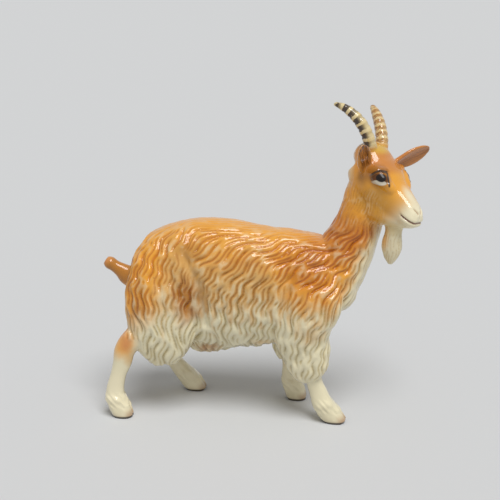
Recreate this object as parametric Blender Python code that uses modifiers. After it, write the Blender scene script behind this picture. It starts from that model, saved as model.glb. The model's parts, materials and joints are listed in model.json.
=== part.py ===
# Walking goat figurine in glazed earthenware: one casting, modelled as one closed solid.
# The goat faces +X, its own left is +Y, and its hooves stand on z = 0. Lengths are in metres.

import itertools
import math
import random

import bmesh
import bpy
import numpy as np
from mathutils import Matrix, Vector, noise
from mathutils.kdtree import KDTree

# Trunk
TRUNK_LENGTH = 0.1015
TRUNK_WIDTH = 0.0410
BACK_HEIGHT = 0.0902
BELLY_HEIGHT = 0.0325
RUMP_X = -0.0605

# Head and neck
POLL_HEIGHT = 0.1250
HEAD_X = 0.0500
HEAD_Y = -0.0010
HEAD_TURN = math.radians(35)
HEAD_TILT = math.radians(5)
HEAD_DEPTH = 0.0340
HEAD_LENGTH = 0.0250
HEAD_WIDTH = 0.0206
NECK_THICKNESS = 0.0190
NEAR_HORN_LENGTH = 0.0290
FAR_HORN_LENGTH = 0.0260
HORN_THICKNESS = 0.0056
EAR_LENGTH = 0.0175
EAR_WIDTH = 0.0082
EAR_THICKNESS = 0.0026
BEARD_LENGTH = 0.0190
BEARD_WIDTH = 0.0098

# Legs: where the middle of each hoof stands
NEAR_HIND_HOOF = (-0.0624, -0.0175)
FAR_HIND_HOOF = (-0.0345, 0.0175)
NEAR_FORE_HOOF = (0.0345, -0.0120)
FAR_FORE_HOOF = (0.0150, 0.0120)
CANNON_THICKNESS = 0.0064
HOOF_LENGTH = 0.0098
THIGH_DEPTH = 0.0330
THIGH_WIDTH = 0.0192
FORE_SKIRT_DEPTH = 0.0290
FORE_SKIRT_WIDTH = 0.0180

# Belly in front of the thighs
BELLY_WIDTH = 0.0180
BELLY_DEPTH = 0.0135

# Tail
TAIL_LENGTH = 0.0150
TAIL_THICKNESS = 0.0058

# Carved coat: grooves side by side, with a lock of hair between each two
LOCK_WIDTH = 0.0047
LOCK_LENGTH = 0.0340
LOCK_WAVE = 0.0105
LOCK_SWING = 0.42
GROOVE_DEPTH = 0.0018
GROOVE_HALF_WIDTH = 0.0019
GROOVE_STEP = 0.0005
SPINE_BAND = 0.0080

# Furrows before the thighs and behind the shoulders
FURROW_WIDTH = 0.0024
THIGH_FURROW_DEPTH = 0.0016
SHOULDER_FURROW_DEPTH = 0.0010

# Surface
RING_SIDES = 32
RINGS_PER_STATION = 5
VOXEL = 0.0009
TRIANGLES = 11400
FLAT = 0.0001


def clear_scene():
    for obj in list(bpy.data.objects):
        bpy.data.objects.remove(obj, do_unlink=True)


def smoothstep(low, high, value):
    share = np.clip((value - low) / (high - low), 0, 1)
    return share * share * (3 - 2 * share)


def on_trunk(along, across, up):
    """A point in the trunk's own box: shares of its length, half width and depth."""
    depth = BACK_HEIGHT - BELLY_HEIGHT
    return Vector((RUMP_X + along * TRUNK_LENGTH, across * TRUNK_WIDTH / 2, BELLY_HEIGHT + up * depth))


def head_frame():
    """Maps the head's own frame (forward, left, up from the poll) to the goat's."""
    place = Matrix.Translation((HEAD_X, HEAD_Y, POLL_HEIGHT))
    middle = Vector((0, 0, -0.38 * HEAD_DEPTH))
    tilt = Matrix.Translation(middle) @ Matrix.Rotation(-HEAD_TILT, 4, "X") @ Matrix.Translation(-middle)
    return place @ Matrix.Rotation(-HEAD_TURN, 4, "Z") @ tilt


def catmull_rom(a, b, c, d, t):
    return 0.5 * (2 * b + (c - a) * t + (2 * a - 5 * b + 4 * c - d) * t * t + (3 * b - a - 3 * c + d) * t**3)


def smooth_rows(rows):
    """Fills in rings between the stations, each (x, y, z, half width, half depth)."""
    rows = [np.array(row, float) for row in rows]
    padded = [2 * rows[0] - rows[1]] + rows + [2 * rows[-1] - rows[-2]]
    filled = []
    for i in range(len(rows) - 1):
        for step in range(RINGS_PER_STATION):
            filled.append(catmull_rom(*padded[i : i + 4], step / RINGS_PER_STATION))
    filled.append(rows[-1])
    return filled


def ring_matrix(row, tangent, side):
    """Places the unit ring square to the path: its X runs along side, its Y along the depth."""
    tangent = tangent.normalized()
    across = (side - tangent * side.dot(tangent)).normalized()
    deep = tangent.cross(across)
    half_width, half_depth = max(row[3], 1e-5), max(row[4], 1e-5)
    turn = Matrix((across * half_width, deep * half_depth, tangent)).transposed().to_4x4()
    return Matrix.Translation(row[:3]) @ turn


def loft(bm, rows, side=(0, 1, 0), frame=None, squareness=2.0, hollow=0.0):
    """One closed limb: a ring extruded from station to station.

    squareness above 2 fills the ring's corners, and hollow dents its +Y side.
    """
    frame = frame or Matrix.Identity(4)
    side = Vector(side)
    rows = smooth_rows(rows)
    points = [Vector(row[:3]) for row in rows]
    places = []
    for i, row in enumerate(rows):
        tangent = points[min(i + 1, len(rows) - 1)] - points[max(i - 1, 0)]
        places.append(frame @ ring_matrix(row, tangent, side))
    made = bmesh.ops.create_circle(bm, cap_ends=True, segments=RING_SIDES, radius=1)
    for vert in made["verts"]:
        x, y = vert.co.x, vert.co.y
        fill = (abs(x) ** squareness + abs(y) ** squareness) ** (-1 / squareness)
        dent = hollow * (1 - x * x) if y > 0 else 0
        vert.co = Vector((x * fill, y * fill - dent, 0))
    bmesh.ops.transform(bm, matrix=places[0], verts=made["verts"])
    faces = list({face for vert in made["verts"] for face in vert.link_faces})
    whole = list(faces)
    for before, after in zip(places, places[1:]):
        grown = bmesh.ops.extrude_face_region(bm, geom=faces)["geom"]
        verts = [item for item in grown if isinstance(item, bmesh.types.BMVert)]
        faces = [item for item in grown if isinstance(item, bmesh.types.BMFace)]
        bmesh.ops.transform(bm, matrix=after @ before.inverted(), verts=verts)
        whole = whole + faces
    region = {face for face in whole if face.is_valid}
    edge = list(region)
    while edge:
        face = edge.pop()
        for loop in face.loops:
            for other in loop.edge.link_faces:
                if other not in region:
                    region.add(other)
                    edge.append(other)
    bmesh.ops.recalc_face_normals(bm, faces=list(region))


def span(start, end, stations):
    """Turns stations (share of the way, forward, left, half width, half depth) into rows.

    Forward and left are shares of the distance between start and end.
    """
    length = (end - start).length
    rows = []
    for share, forward, left, half_width, half_depth in stations:
        point = start.lerp(end, share)
        rows.append((point.x + forward * length, point.y + left * length, point.z, half_width, half_depth))
    return rows


def add_trunk(bm):
    # share of the length, then top, bottom and half width as shares of the depth and width
    stations = [
        (0.00, 0.57, 0.34, 0.28),
        (0.03, 0.70, 0.23, 0.55),
        (0.09, 0.835, 0.13, 0.76),
        (0.18, 0.950, 0.06, 0.90),
        (0.29, 1.005, 0.00, 0.97),
        (0.42, 1.005, -0.03, 1.00),
        (0.53, 0.975, -0.02, 1.00),
        (0.64, 0.955, 0.02, 0.98),
        (0.74, 0.945, 0.09, 0.93),
        (0.84, 0.90, 0.18, 0.85),
        (0.91, 0.80, 0.24, 0.74),
        (0.975, 0.66, 0.30, 0.57),
        (1.01, 0.54, 0.39, 0.32),
    ]
    rows = []
    for along, top, bottom, wide in stations:
        middle = on_trunk(along, 0, (top + bottom) / 2)
        half_depth = (top - bottom) / 2 * (BACK_HEIGHT - BELLY_HEIGHT)
        rows.append((*middle, wide * TRUNK_WIDTH / 2, half_depth))
    loft(bm, rows, squareness=2.25)


def add_belly(bm):
    """The full belly in front of the thighs."""
    wide = BELLY_WIDTH / 2
    deep = BELLY_DEPTH / 2
    stations = [
        (0.0, 0, 0, 0.45 * wide, 0.44 * deep),
        (0.2, 0, 0, wide, 1.04 * deep),
        (0.6, 0, 0, wide, 0.96 * deep),
        (1.0, 0, 0, 0.55 * wide, 0.44 * deep),
    ]
    loft(bm, span(on_trunk(0.24, 0, 0.03), on_trunk(0.52, 0, 0.05), stations))


def add_neck(bm):
    thick = NECK_THICKNESS / 2
    root = on_trunk(0.82, 0, 0.46)
    top = head_frame() @ Vector((-0.12 * HEAD_LENGTH, 0, -0.38 * HEAD_DEPTH))
    stations = [
        (0.00, 0, 0, 1.70 * thick, 1.62 * thick),
        (0.15, 0.058, 0, 1.58 * thick, 1.58 * thick),
        (0.33, 0.091, 0, 1.32 * thick, 1.34 * thick),
        (0.52, 0.087, 0, 1.08 * thick, 1.14 * thick),
        (0.69, 0.062, 0, 0.98 * thick, 1.05 * thick),
        (0.85, 0.026, 0, 0.95 * thick, 1.00 * thick),
        (1.00, 0, 0, 0.90 * thick, 0.90 * thick),
    ]
    loft(bm, span(root, top, stations))


def add_head(bm):
    """Skull, jaw, brows and muzzle, in the head's frame with the poll at its origin."""
    frame = head_frame()
    reach = HEAD_LENGTH
    half = HEAD_WIDTH / 2
    deep = HEAD_DEPTH
    # shares: forward of the reach, up from the poll of the depth, half width, half depth
    skull = [
        (-0.44, -0.221, 0.25, 0.059),
        (-0.36, -0.191, 0.62, 0.162),
        (-0.24, -0.194, 0.84, 0.265),
        (-0.14, -0.312, 0.97, 0.312),
        (-0.02, -0.429, 1.00, 0.329),
        (0.09, -0.518, 0.98, 0.324),
        (0.25, -0.609, 0.83, 0.291),
        (0.44, -0.682, 0.68, 0.235),
        (0.61, -0.759, 0.57, 0.194),
        (0.74, -0.818, 0.53, 0.162),
        (0.84, -0.847, 0.44, 0.123),
        (0.90, -0.859, 0.28, 0.071),
    ]
    jaw = [
        (-0.24, -0.588, 0.62, 0.206),
        (0.00, -0.706, 0.82, 0.244),
        (0.20, -0.782, 0.78, 0.215),
        (0.40, -0.824, 0.60, 0.165),
        (0.58, -0.859, 0.48, 0.123),
        (0.72, -0.882, 0.40, 0.097),
        (0.80, -0.894, 0.26, 0.059),
    ]
    for stations in (skull, jaw):
        rows = [
            (forward * reach, 0, height * deep, wide * half, thick * deep)
            for forward, height, wide, thick in stations
        ]
        loft(bm, rows, frame=frame, squareness=2.5)
    for hand in (-1, 1):
        brow = [
            (0.02 * reach, hand * 0.62 * half, -0.265 * deep, 0.076 * deep, 0.076 * deep),
            (0.20 * reach, hand * 0.72 * half, -0.329 * deep, 0.106 * deep, 0.106 * deep),
            (0.36 * reach, hand * 0.66 * half, -0.429 * deep, 0.088 * deep, 0.088 * deep),
            (0.48 * reach, hand * 0.50 * half, -0.529 * deep, 0.053 * deep, 0.053 * deep),
        ]
        loft(bm, brow, frame=frame)
        eye = [
            (0.24 * reach, hand * 0.66 * half, -0.371 * deep, 0.035 * deep, 0.035 * deep),
            (0.32 * reach, hand * 0.72 * half, -0.394 * deep, 0.071 * deep, 0.071 * deep),
            (0.42 * reach, hand * 0.66 * half, -0.435 * deep, 0.035 * deep, 0.035 * deep),
        ]
        loft(bm, eye, frame=frame)


def add_horn(bm, hand, length, first_lean, last_lean, spread):
    """A ringed horn that rises from the poll and bends back by a steady turn."""
    thick = HORN_THICKNESS / 2
    steps = 6
    place = Vector((-0.08 * HEAD_LENGTH, hand * 0.194 * HEAD_WIDTH, -0.088 * HEAD_DEPTH))
    rows = []
    for step in range(steps + 1):
        share = step / steps
        girth = thick * (1.0 - 0.20 * share - 0.50 * share**4)
        rows.append((*place, girth, girth))
        lean = first_lean + (last_lean - first_lean) * share
        heading = Vector((-math.sin(lean), hand * math.sin(spread), math.cos(lean)))
        place = place + heading.normalized() * (length / steps)
    loft(bm, rows, frame=head_frame())


def add_horns(bm):
    add_horn(bm, -1, NEAR_HORN_LENGTH, math.radians(2), math.radians(86), math.radians(18))
    add_horn(bm, 1, FAR_HORN_LENGTH, math.radians(20), math.radians(60), math.radians(25))


def add_ear(bm, root, hand, rise, sweep):
    """A leaf with a hollow front, rising and swept forward by the two angles."""
    outward = Vector(
        (math.cos(rise) * math.sin(sweep), hand * math.cos(rise) * math.cos(sweep), math.sin(rise))
    )
    half = EAR_WIDTH / 2
    stations = [
        (0.00, 0.60, 0.95),
        (0.18, 0.80, 0.90),
        (0.40, 1.00, 0.80),
        (0.62, 0.96, 0.70),
        (0.82, 0.72, 0.62),
        (0.95, 0.38, 0.45),
        (1.00, 0.14, 0.20),
    ]
    rows = [
        (*(root + outward * (share * EAR_LENGTH)), wide * half, thick * EAR_THICKNESS)
        for share, wide, thick in stations
    ]
    # The hollow looks forward and a little down.
    looks = Vector((1, 0, -0.4))
    loft(bm, rows, side=looks.cross(outward), frame=head_frame(), hollow=1.1)


def add_ears(bm):
    near = Vector((-0.02 * HEAD_LENGTH, -0.427 * HEAD_WIDTH, -0.294 * HEAD_DEPTH))
    far = Vector((0.14 * HEAD_LENGTH, 0.388 * HEAD_WIDTH, -0.235 * HEAD_DEPTH))
    add_ear(bm, near, -1, math.radians(42), math.radians(25))
    add_ear(bm, far, 1, math.radians(27), math.radians(32))


def add_beard(bm):
    half = BEARD_WIDTH / 2
    start = Vector((0.42 * HEAD_LENGTH, 0, -0.926 * HEAD_DEPTH))
    end = start + Vector((-0.032 * BEARD_LENGTH, 0, -BEARD_LENGTH))
    stations = [
        (0.00, 0, 0, 0.66 * half, 0.94 * half),
        (0.24, 0, 0, 0.58 * half, 0.84 * half),
        (0.46, 0, 0, 0.62 * half, 0.98 * half),
        (0.64, 0, 0, 0.62 * half, 0.98 * half),
        (0.84, 0, 0, 0.44 * half, 0.68 * half),
        (1.00, 0, 0, 0.14 * half, 0.20 * half),
    ]
    loft(bm, span(start, end, stations), frame=head_frame())


def add_leg(bm, top, hoof, upper, lower):
    """A leg in two limbs: the furred upper part and the bare shank with its hoof."""
    start = on_trunk(*top)
    end = Vector((hoof[0], hoof[1], 0))
    loft(bm, span(start, end, upper), squareness=2.2)
    loft(bm, span(start, end, lower), squareness=2.3)


def shank_stations(path):
    """Adds the girths from above the pastern down to the hoof, which all four legs share."""
    thin = CANNON_THICKNESS / 2
    hoof = HOOF_LENGTH / 2
    girths = [(1.0, 1.12), (1.08, 1.30)]
    feet = [(0.92, 0.96), (0.94, 1.0), (0.90, 0.96)]
    stations = []
    for (share, forward, left), (wide, deep) in zip(path[-5:-3], girths):
        stations.append((share, forward, left, wide * thin, deep * thin))
    for (share, forward, left), (wide, deep) in zip(path[-3:], feet):
        stations.append((share, forward, left, wide * hoof, deep * hoof))
    return stations


def add_near_hind(bm):
    thigh = THIGH_DEPTH / 2
    wide = THIGH_WIDTH / 2
    thin = CANNON_THICKNESS / 2
    upper = [
        (-0.10, 0, 0.041, 0.469 * wide, 0.45 * thigh),
        (0.00, 0, 0.011, 0.833 * wide, 0.76 * thigh),
        (0.17, 0.036, -0.019, wide, 0.97 * thigh),
        (0.33, 0.085, -0.022, 0.979 * wide, 1.00 * thigh),
        (0.47, 0.115, -0.013, 0.875 * wide, 0.88 * thigh),
        (0.58, 0.146, 0, 0.667 * wide, 0.62 * thigh),
        (0.65, 0.167, 0.007, 0.313 * wide, 0.28 * thigh),
    ]
    lower = [
        (0.44, 0.054, -0.027, 1.4 * thin, 1.9 * thin),
        (0.48, -0.054, -0.046, 1.34 * thin, 1.6 * thin),
        (0.55, -0.092, -0.046, 1.18 * thin, 1.5 * thin),
        (0.63, -0.092, -0.041, 1.04 * thin, 1.35 * thin),
    ]
    path = [
        (0.72, -0.100, -0.032),
        (0.82, -0.100, -0.020),
        (0.89, -0.078, -0.012),
        (0.95, -0.038, -0.005),
        (1.02, 0, 0),
    ]
    add_leg(bm, (0.148, -0.44, 0.685), NEAR_HIND_HOOF, upper, lower + shank_stations(path))


def add_far_hind(bm):
    thigh = THIGH_DEPTH / 2
    wide = THIGH_WIDTH / 2
    thin = CANNON_THICKNESS / 2
    upper = [
        (-0.10, 0, -0.041, 0.469 * wide, 0.45 * thigh),
        (0.00, 0, -0.011, 0.833 * wide, 0.76 * thigh),
        (0.17, -0.004, 0.019, wide, 0.97 * thigh),
        (0.33, -0.005, 0.022, 0.979 * wide, 0.94 * thigh),
        (0.47, -0.025, 0.014, 0.812 * wide, 0.79 * thigh),
        (0.58, -0.063, 0.005, 0.625 * wide, 0.55 * thigh),
    ]
    lower = [
        (0.53, -0.079, 0.03, 1.3 * thin, 1.7 * thin),
        (0.60, -0.172, 0.035, 1.22 * thin, 1.44 * thin),
        (0.68, -0.177, 0.03, 1.03 * thin, 1.3 * thin),
    ]
    path = [
        (0.78, -0.136, 0.022),
        (0.86, -0.09, 0.014),
        (0.92, -0.046, 0.008),
        (0.97, -0.016, 0.003),
        (1.02, 0.005, 0),
    ]
    add_leg(bm, (0.148, 0.44, 0.685), FAR_HIND_HOOF, upper, lower + shank_stations(path))


def add_near_fore(bm):
    skirt = FORE_SKIRT_DEPTH / 2
    wide = FORE_SKIRT_WIDTH / 2
    thin = CANNON_THICKNESS / 2
    upper = [
        (-0.12, 0, 0.042, 0.444 * wide, 0.50 * skirt),
        (0.00, 0, 0.011, 0.8 * wide, 0.88 * skirt),
        (0.17, -0.039, -0.034, wide, 1.03 * skirt),
        (0.31, -0.101, -0.039, wide, 0.94 * skirt),
        (0.43, -0.119, -0.028, 0.911 * wide, 0.84 * skirt),
        (0.52, -0.112, -0.017, 0.8 * wide, 0.75 * skirt),
        (0.60, -0.112, -0.014, 0.78 * wide, 0.66 * skirt),
        (0.67, -0.108, -0.008, 0.68 * wide, 0.54 * skirt),
        (0.71, -0.100, -0.006, 0.44 * wide, 0.33 * skirt),
    ]
    lower = [(0.60, -0.091, -0.008, 1.1 * thin, 1.3 * thin)]
    path = [
        (0.72, -0.094, -0.006),
        (0.81, -0.079, -0.004),
        (0.88, -0.065, -0.003),
        (0.94, -0.031, 0),
        (1.02, 0.011, 0),
    ]
    add_leg(bm, (0.81, -0.49, 0.65), NEAR_FORE_HOOF, upper, lower + shank_stations(path))


def add_far_fore(bm):
    skirt = FORE_SKIRT_DEPTH / 2
    wide = FORE_SKIRT_WIDTH / 2
    thin = CANNON_THICKNESS / 2
    upper = [
        (-0.12, 0, -0.043, 0.444 * wide, 0.50 * skirt),
        (0.00, 0, -0.011, 0.8 * wide, 0.88 * skirt),
        (0.17, -0.043, 0.034, wide, 1.03 * skirt),
        (0.37, -0.094, 0.034, 0.956 * wide, 0.84 * skirt),
        (0.53, -0.122, 0.020, 0.778 * wide, 0.57 * skirt),
        (0.62, -0.117, 0.014, 0.622 * wide, 0.44 * skirt),
        (0.70, -0.094, 0.009, 0.444 * wide, 0.30 * skirt),
    ]
    lower = [(0.62, -0.097, 0.013, 1.1 * thin, 1.3 * thin)]
    path = [
        (0.74, -0.078, 0.007),
        (0.83, -0.065, 0.004),
        (0.89, -0.045, 0.003),
        (0.95, -0.018, 0),
        (1.02, 0.003, 0),
    ]
    add_leg(bm, (0.81, 0.49, 0.65), FAR_FORE_HOOF, upper, lower + shank_stations(path))


def add_tail(bm):
    root = on_trunk(0.02, 0, 0.47)
    half = TAIL_THICKNESS / 2
    tip = on_trunk(0.0, 0, 0.52) + TAIL_LENGTH * Vector((-0.88, 0, 0.47))
    stations = [
        (0.00, 0.26, 0, 1.6 * half, 2.2 * half),
        (0.28, 0, 0, 1.30 * half, 1.8 * half),
        (0.52, 0, 0, 1.08 * half, 1.25 * half),
        (0.72, 0, 0, 0.95 * half, 0.98 * half),
        (0.88, 0, 0, 1.05 * half, 1.05 * half),
        (1.00, 0, 0, 0.70 * half, 0.70 * half),
    ]
    loft(bm, span(root, tip, stations))


def rough_goat():
    """All limbs in one mesh, overlapping where they join."""
    bm = bmesh.new()
    add_trunk(bm)
    add_belly(bm)
    add_neck(bm)
    add_head(bm)
    add_horns(bm)
    add_ears(bm)
    add_beard(bm)
    add_near_hind(bm)
    add_far_hind(bm)
    add_near_fore(bm)
    add_far_fore(bm)
    add_tail(bm)
    mesh = bpy.data.meshes.new("goat")
    bm.to_mesh(mesh)
    bm.free()
    return mesh


def apply_modifiers(obj):
    """Bakes the object's modifiers into its mesh."""
    graph = bpy.context.evaluated_depsgraph_get()
    mesh = bpy.data.meshes.new_from_object(obj.evaluated_get(graph))
    obj.modifiers.clear()
    obj.data = mesh


def fuse(obj):
    """Melts the limbs into one skin and softens the joints."""
    remesh = obj.modifiers.new("one_skin", "REMESH")
    remesh.mode = "VOXEL"
    remesh.voxel_size = VOXEL
    soften = obj.modifiers.new("soften", "SMOOTH")
    soften.factor = 0.5
    soften.iterations = 5
    apply_modifiers(obj)


def in_trunk(points):
    """Shares of the trunk's length and depth for an array of points, or for one point."""
    low, high = on_trunk(0, 0, 0), on_trunk(1, 0, 1)
    along = (points[..., 0] - low.x) / (high.x - low.x)
    up = (points[..., 2] - low.z) / (high.z - low.z)
    return along, up


def coat_flow(point):
    """The way that the coat lies at a point, before it is laid on the surface."""
    along, up = in_trunk(np.array(point))
    flank = smoothstep(0.24, 0.36, along) * (1 - smoothstep(0.92, 1.08, along))
    lean_back = 0.12 + flank * (1.3 * smoothstep(0.30, 1.0, up))
    lean_back += 0.35 * smoothstep(0.70, 0.85, along) * (1 - smoothstep(0.92, 1.08, along))
    neck = smoothstep(0.85, 1.15, up)
    lean_back = lean_back * (1 - neck) + 0.30 * neck
    skirt = 1 - smoothstep(-0.10, 0.25, up)
    lean_back = lean_back * (1 - skirt) + 0.08 * skirt
    thigh = 1 - smoothstep(0.24, 0.36, along)
    gather = smoothstep(0.55, 0.35, up) - 2.2 * smoothstep(0.22, 0.02, up)
    lean_back += 3.0 * thigh * gather * (along - 0.20)
    return Vector((-lean_back, 0, -1)).normalized()


def furrow_share(points, side, stops):
    """How near each point is to a furrow, whose stops are shares of the trunk's length and depth."""
    path = [on_trunk(along, 0, up) for along, up in stops]
    flat = points[:, (0, 2)]
    away = np.full(len(points), np.inf)
    for first, second in zip(path, path[1:]):
        a, b = np.array((first.x, first.z)), np.array((second.x, second.z))
        share = np.clip((flat - a) @ (b - a) / ((b - a) @ (b - a)), 0, 1)
        away = np.minimum(away, np.linalg.norm(flat - a - share[:, None] * (b - a), axis=1))
    outer = smoothstep(0.10 * TRUNK_WIDTH, 0.25 * TRUNK_WIDTH, side * points[:, 1])
    return np.exp(-((away / FURROW_WIDTH) ** 2)) * outer


def furrow_dents(points):
    """How deep each point lies in the furrows that set the thighs and shoulders off."""
    thigh = furrow_share(points, -1, [(0.257, 0.79), (0.336, 0.53), (0.356, 0.24)])
    thigh += furrow_share(points, 1, [(0.257, 0.79), (0.360, 0.53), (0.440, 0.24)])
    shoulder = furrow_share(points, -1, [(0.724, 0.62), (0.704, 0.41), (0.695, 0.18)])
    shoulder += furrow_share(points, 1, [(0.724, 0.62), (0.660, 0.41), (0.600, 0.18)])
    return THIGH_FURROW_DEPTH * thigh + SHOULDER_FURROW_DEPTH * shoulder


def carved_share(points, normals):
    """How deeply the coat is carved: none on the face, ears, beard, shanks, hooves and spine."""
    frame = head_frame().inverted()
    turn = np.array(frame.to_3x3())
    local = points @ turn.T + np.array(frame.translation)
    skull = np.array((0.35 * HEAD_LENGTH, 0, -0.5 * HEAD_DEPTH))
    from_face = np.linalg.norm((local - skull) * (0.8, 1, 0.8), axis=1)
    share = smoothstep(0.34 * HEAD_DEPTH, 0.47 * HEAD_DEPTH, from_face)
    share *= 1 - smoothstep(-0.18 * HEAD_DEPTH, 0, local[:, 2])
    beard = smoothstep(0.20 * HEAD_LENGTH, 0.30 * HEAD_LENGTH, local[:, 0])
    share *= 1 - beard * smoothstep(-0.80 * HEAD_DEPTH, -0.90 * HEAD_DEPTH, local[:, 2])
    ears = smoothstep(0.50 * HEAD_WIDTH, 0.58 * HEAD_WIDTH, np.abs(local[:, 1]))
    share *= 1 - ears * smoothstep(-0.62 * HEAD_DEPTH, -0.48 * HEAD_DEPTH, local[:, 2])
    low, high = on_trunk(0, 0, -0.25).z, on_trunk(0, 0, -0.16).z
    share *= smoothstep(low, high, points[:, 2])
    hock = np.array((NEAR_HIND_HOOF[0], NEAR_HIND_HOOF[1]))
    near_hock = np.linalg.norm(points[:, :2] - hock, axis=1)
    bare = 1 - smoothstep(1.4 * CANNON_THICKNESS, 1.9 * CANNON_THICKNESS, near_hock)
    low, high = on_trunk(0, 0, 0.085).z, on_trunk(0, 0, 0.12).z
    share *= 1 - bare * (1 - smoothstep(low, high, points[:, 2]))
    rear = on_trunk(-0.03, 0, 0).x
    share *= smoothstep(rear, on_trunk(0.01, 0, 0).x, points[:, 0])
    upward = smoothstep(0.60, 0.95, normals[:, 2])
    spine = upward * (1 - smoothstep(0.6, 1.6, np.abs(points[:, 1]) / SPINE_BAND))
    return share * (1 - spine)


def cell_of(point):
    """The cell of space that a point is in, as wide as a lock."""
    return tuple(math.floor(c / LOCK_WIDTH) for c in point)


def crowded(point, marks, room):
    """Whether a groove already passes within this room of the point."""
    i, j, k = cell_of(point)
    for cell in itertools.product((i - 1, i, i + 1), (j - 1, j, j + 1), (k - 1, k, k + 1)):
        if any((other - point).length < room for other in marks.get(cell, ())):
            return True
    return False


def groove_heading(point, normal):
    """The way that a groove runs at a point: with the coat, swinging from side to side."""
    flow = coat_flow(point)
    drift = noise.noise(point / (3 * LOCK_WAVE))
    phase = (point.z + 0.4 * point.x) / LOCK_WAVE + drift
    heading = flow + normal.cross(flow) * (LOCK_SWING * math.sin(2 * math.pi * phase))
    heading -= normal * heading.dot(normal)
    return heading.normalized()


def groove_path(start, skin, marks, half):
    """Follows the coat both ways from a point, until the groove is long enough or meets another."""
    tree, normals, share = skin
    path = [start]
    for way in (1, -1):
        point = start
        for _ in range(int(half / GROOVE_STEP)):
            spot, index, _ = tree.find(point)
            normal = Vector(normals[index])
            point = point + groove_heading(point, normal) * (way * GROOVE_STEP)
            point -= normal * (point - spot).dot(normal)
            if share[index] < 0.08 or crowded(point, marks, 0.6 * LOCK_WIDTH):
                break
            path.insert(0 if way < 0 else len(path), point)
    return path


def plant(points):
    """Sorts points into a tree, which finds the nearest of them."""
    tree = KDTree(len(points))
    for index, point in enumerate(points):
        tree.insert(point, index)
    tree.balance()
    return tree


def tapered(path, strength):
    """A groove's points, each with its strength there: it fades out towards both ends."""
    groove = []
    for number, point in enumerate(path):
        end = min(number, len(path) - 1 - number) * GROOVE_STEP
        groove.append((point, strength * min(1.0, 0.3 + end / LOCK_WIDTH)))
    return groove


def beside(point, skin):
    """Where the coat can have its next grooves, on both sides of a point of one."""
    tree, normals, share = skin
    _, index, _ = tree.find(point)
    normal = Vector(normals[index])
    aside = normal.cross(groove_heading(point, normal)) * LOCK_WIDTH
    places = []
    for place in (point + aside, point - aside):
        spot, index, _ = tree.find(place)
        if share[index] > 0.15:
            places.append(spot.copy())
    return places


def comb(points, normals, share):
    """Draws grooves side by side over the coat, each a list of points with its strength there."""
    skin = (plant(points), normals, share)
    rng = random.Random(7)
    order = [index for index in range(len(points)) if share[index] > 0.15]
    rng.shuffle(order)
    marks = {}
    grooves = []
    for first in order:
        waiting = [Vector(points[first])]
        while waiting:
            start = waiting.pop(0)
            if crowded(start, marks, 0.92 * LOCK_WIDTH):
                continue
            path = groove_path(start, skin, marks, LOCK_LENGTH * rng.uniform(0.3, 0.5))
            if len(path) * GROOVE_STEP < LOCK_WIDTH:
                continue
            grooves.append(tapered(path, rng.uniform(0.75, 1.0)))
            for point in path:
                marks.setdefault(cell_of(point), []).append(point)
            for point in path[:: int(LOCK_WIDTH / GROOVE_STEP)]:
                waiting.extend(beside(point, skin))
    return grooves


def read_skin(mesh):
    """The mesh's points and normals, as arrays."""
    arrays = []
    for name in ("co", "normal"):
        values = np.empty(len(mesh.vertices) * 3, np.float32)
        mesh.vertices.foreach_get(name, values)
        arrays.append(values.reshape(-1, 3).astype(float))
    return arrays


def write_skin(mesh, points):
    mesh.vertices.foreach_set("co", points.astype(np.float32).ravel())
    mesh.update()


def carve_coat(obj):
    """Presses the furrows into the skin, then cuts the grooves of the coat."""
    points, normals = read_skin(obj.data)
    dents = furrow_dents(points)
    write_skin(obj.data, points - normals * dents[:, None])
    points, normals = read_skin(obj.data)
    share = carved_share(points, normals) * (1 - 0.6 * dents / THIGH_FURROW_DEPTH)
    marks = [mark for groove in comb(points, normals, share) for mark in groove]
    tree = plant([point for point, _ in marks])
    lift = np.zeros(len(points))
    for index, point in enumerate(points):
        _, nearest, distance = tree.find(point)
        near = max(0.0, 1 - distance / GROOVE_HALF_WIDTH)
        lift[index] = 0.25 - marks[nearest][1] * near
    write_skin(obj.data, points + normals * (lift * share * GROOVE_DEPTH)[:, None])


def thin_out(obj):
    """Brings the skin down to the triangles that the carving needs."""
    obj.data.calc_loop_triangles()
    thin = obj.modifiers.new("thin_out", "DECIMATE")
    thin.ratio = min(1.0, TRIANGLES / len(obj.data.loop_triangles))
    thin.use_collapse_triangulate = True
    apply_modifiers(obj)


def cut_soles(obj):
    """Cuts the hooves flat on the floor, and closes each cut."""
    bm = bmesh.new()
    bm.from_mesh(obj.data)
    whole = list(bm.verts) + list(bm.edges) + list(bm.faces)
    bmesh.ops.bisect_plane(
        bm, geom=whole, dist=FLAT / 2, plane_co=(0, 0, 0), plane_no=(0, 0, -1), clear_outer=True
    )
    rims = [edge for edge in bm.edges if edge.is_boundary]
    bmesh.ops.holes_fill(bm, edges=rims, sides=0)
    for vert in bm.verts:
        if abs(vert.co.z) < FLAT:
            vert.co.z = 0
    bmesh.ops.triangulate(bm, faces=list(bm.faces))
    bmesh.ops.recalc_face_normals(bm, faces=list(bm.faces))
    bm.to_mesh(obj.data)
    bm.free()


def stand_centred(obj):
    """Moves the goat so that the middle of its box stands over the origin."""
    corners = [Vector(corner) for corner in obj.bound_box]
    middle = sum(corners, Vector()) / len(corners)
    obj.data.transform(Matrix.Translation((-middle.x, -middle.y, 0)))


def glaze():
    material = bpy.data.materials.new("glazed_goat")
    material.use_nodes = True
    shader = material.node_tree.nodes["Principled BSDF"]
    shader.inputs["Base Color"].default_value = (0.56, 0.29, 0.12, 1)
    shader.inputs["Roughness"].default_value = 0.12
    shader.inputs["Metallic"].default_value = 0.0
    return material


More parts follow.
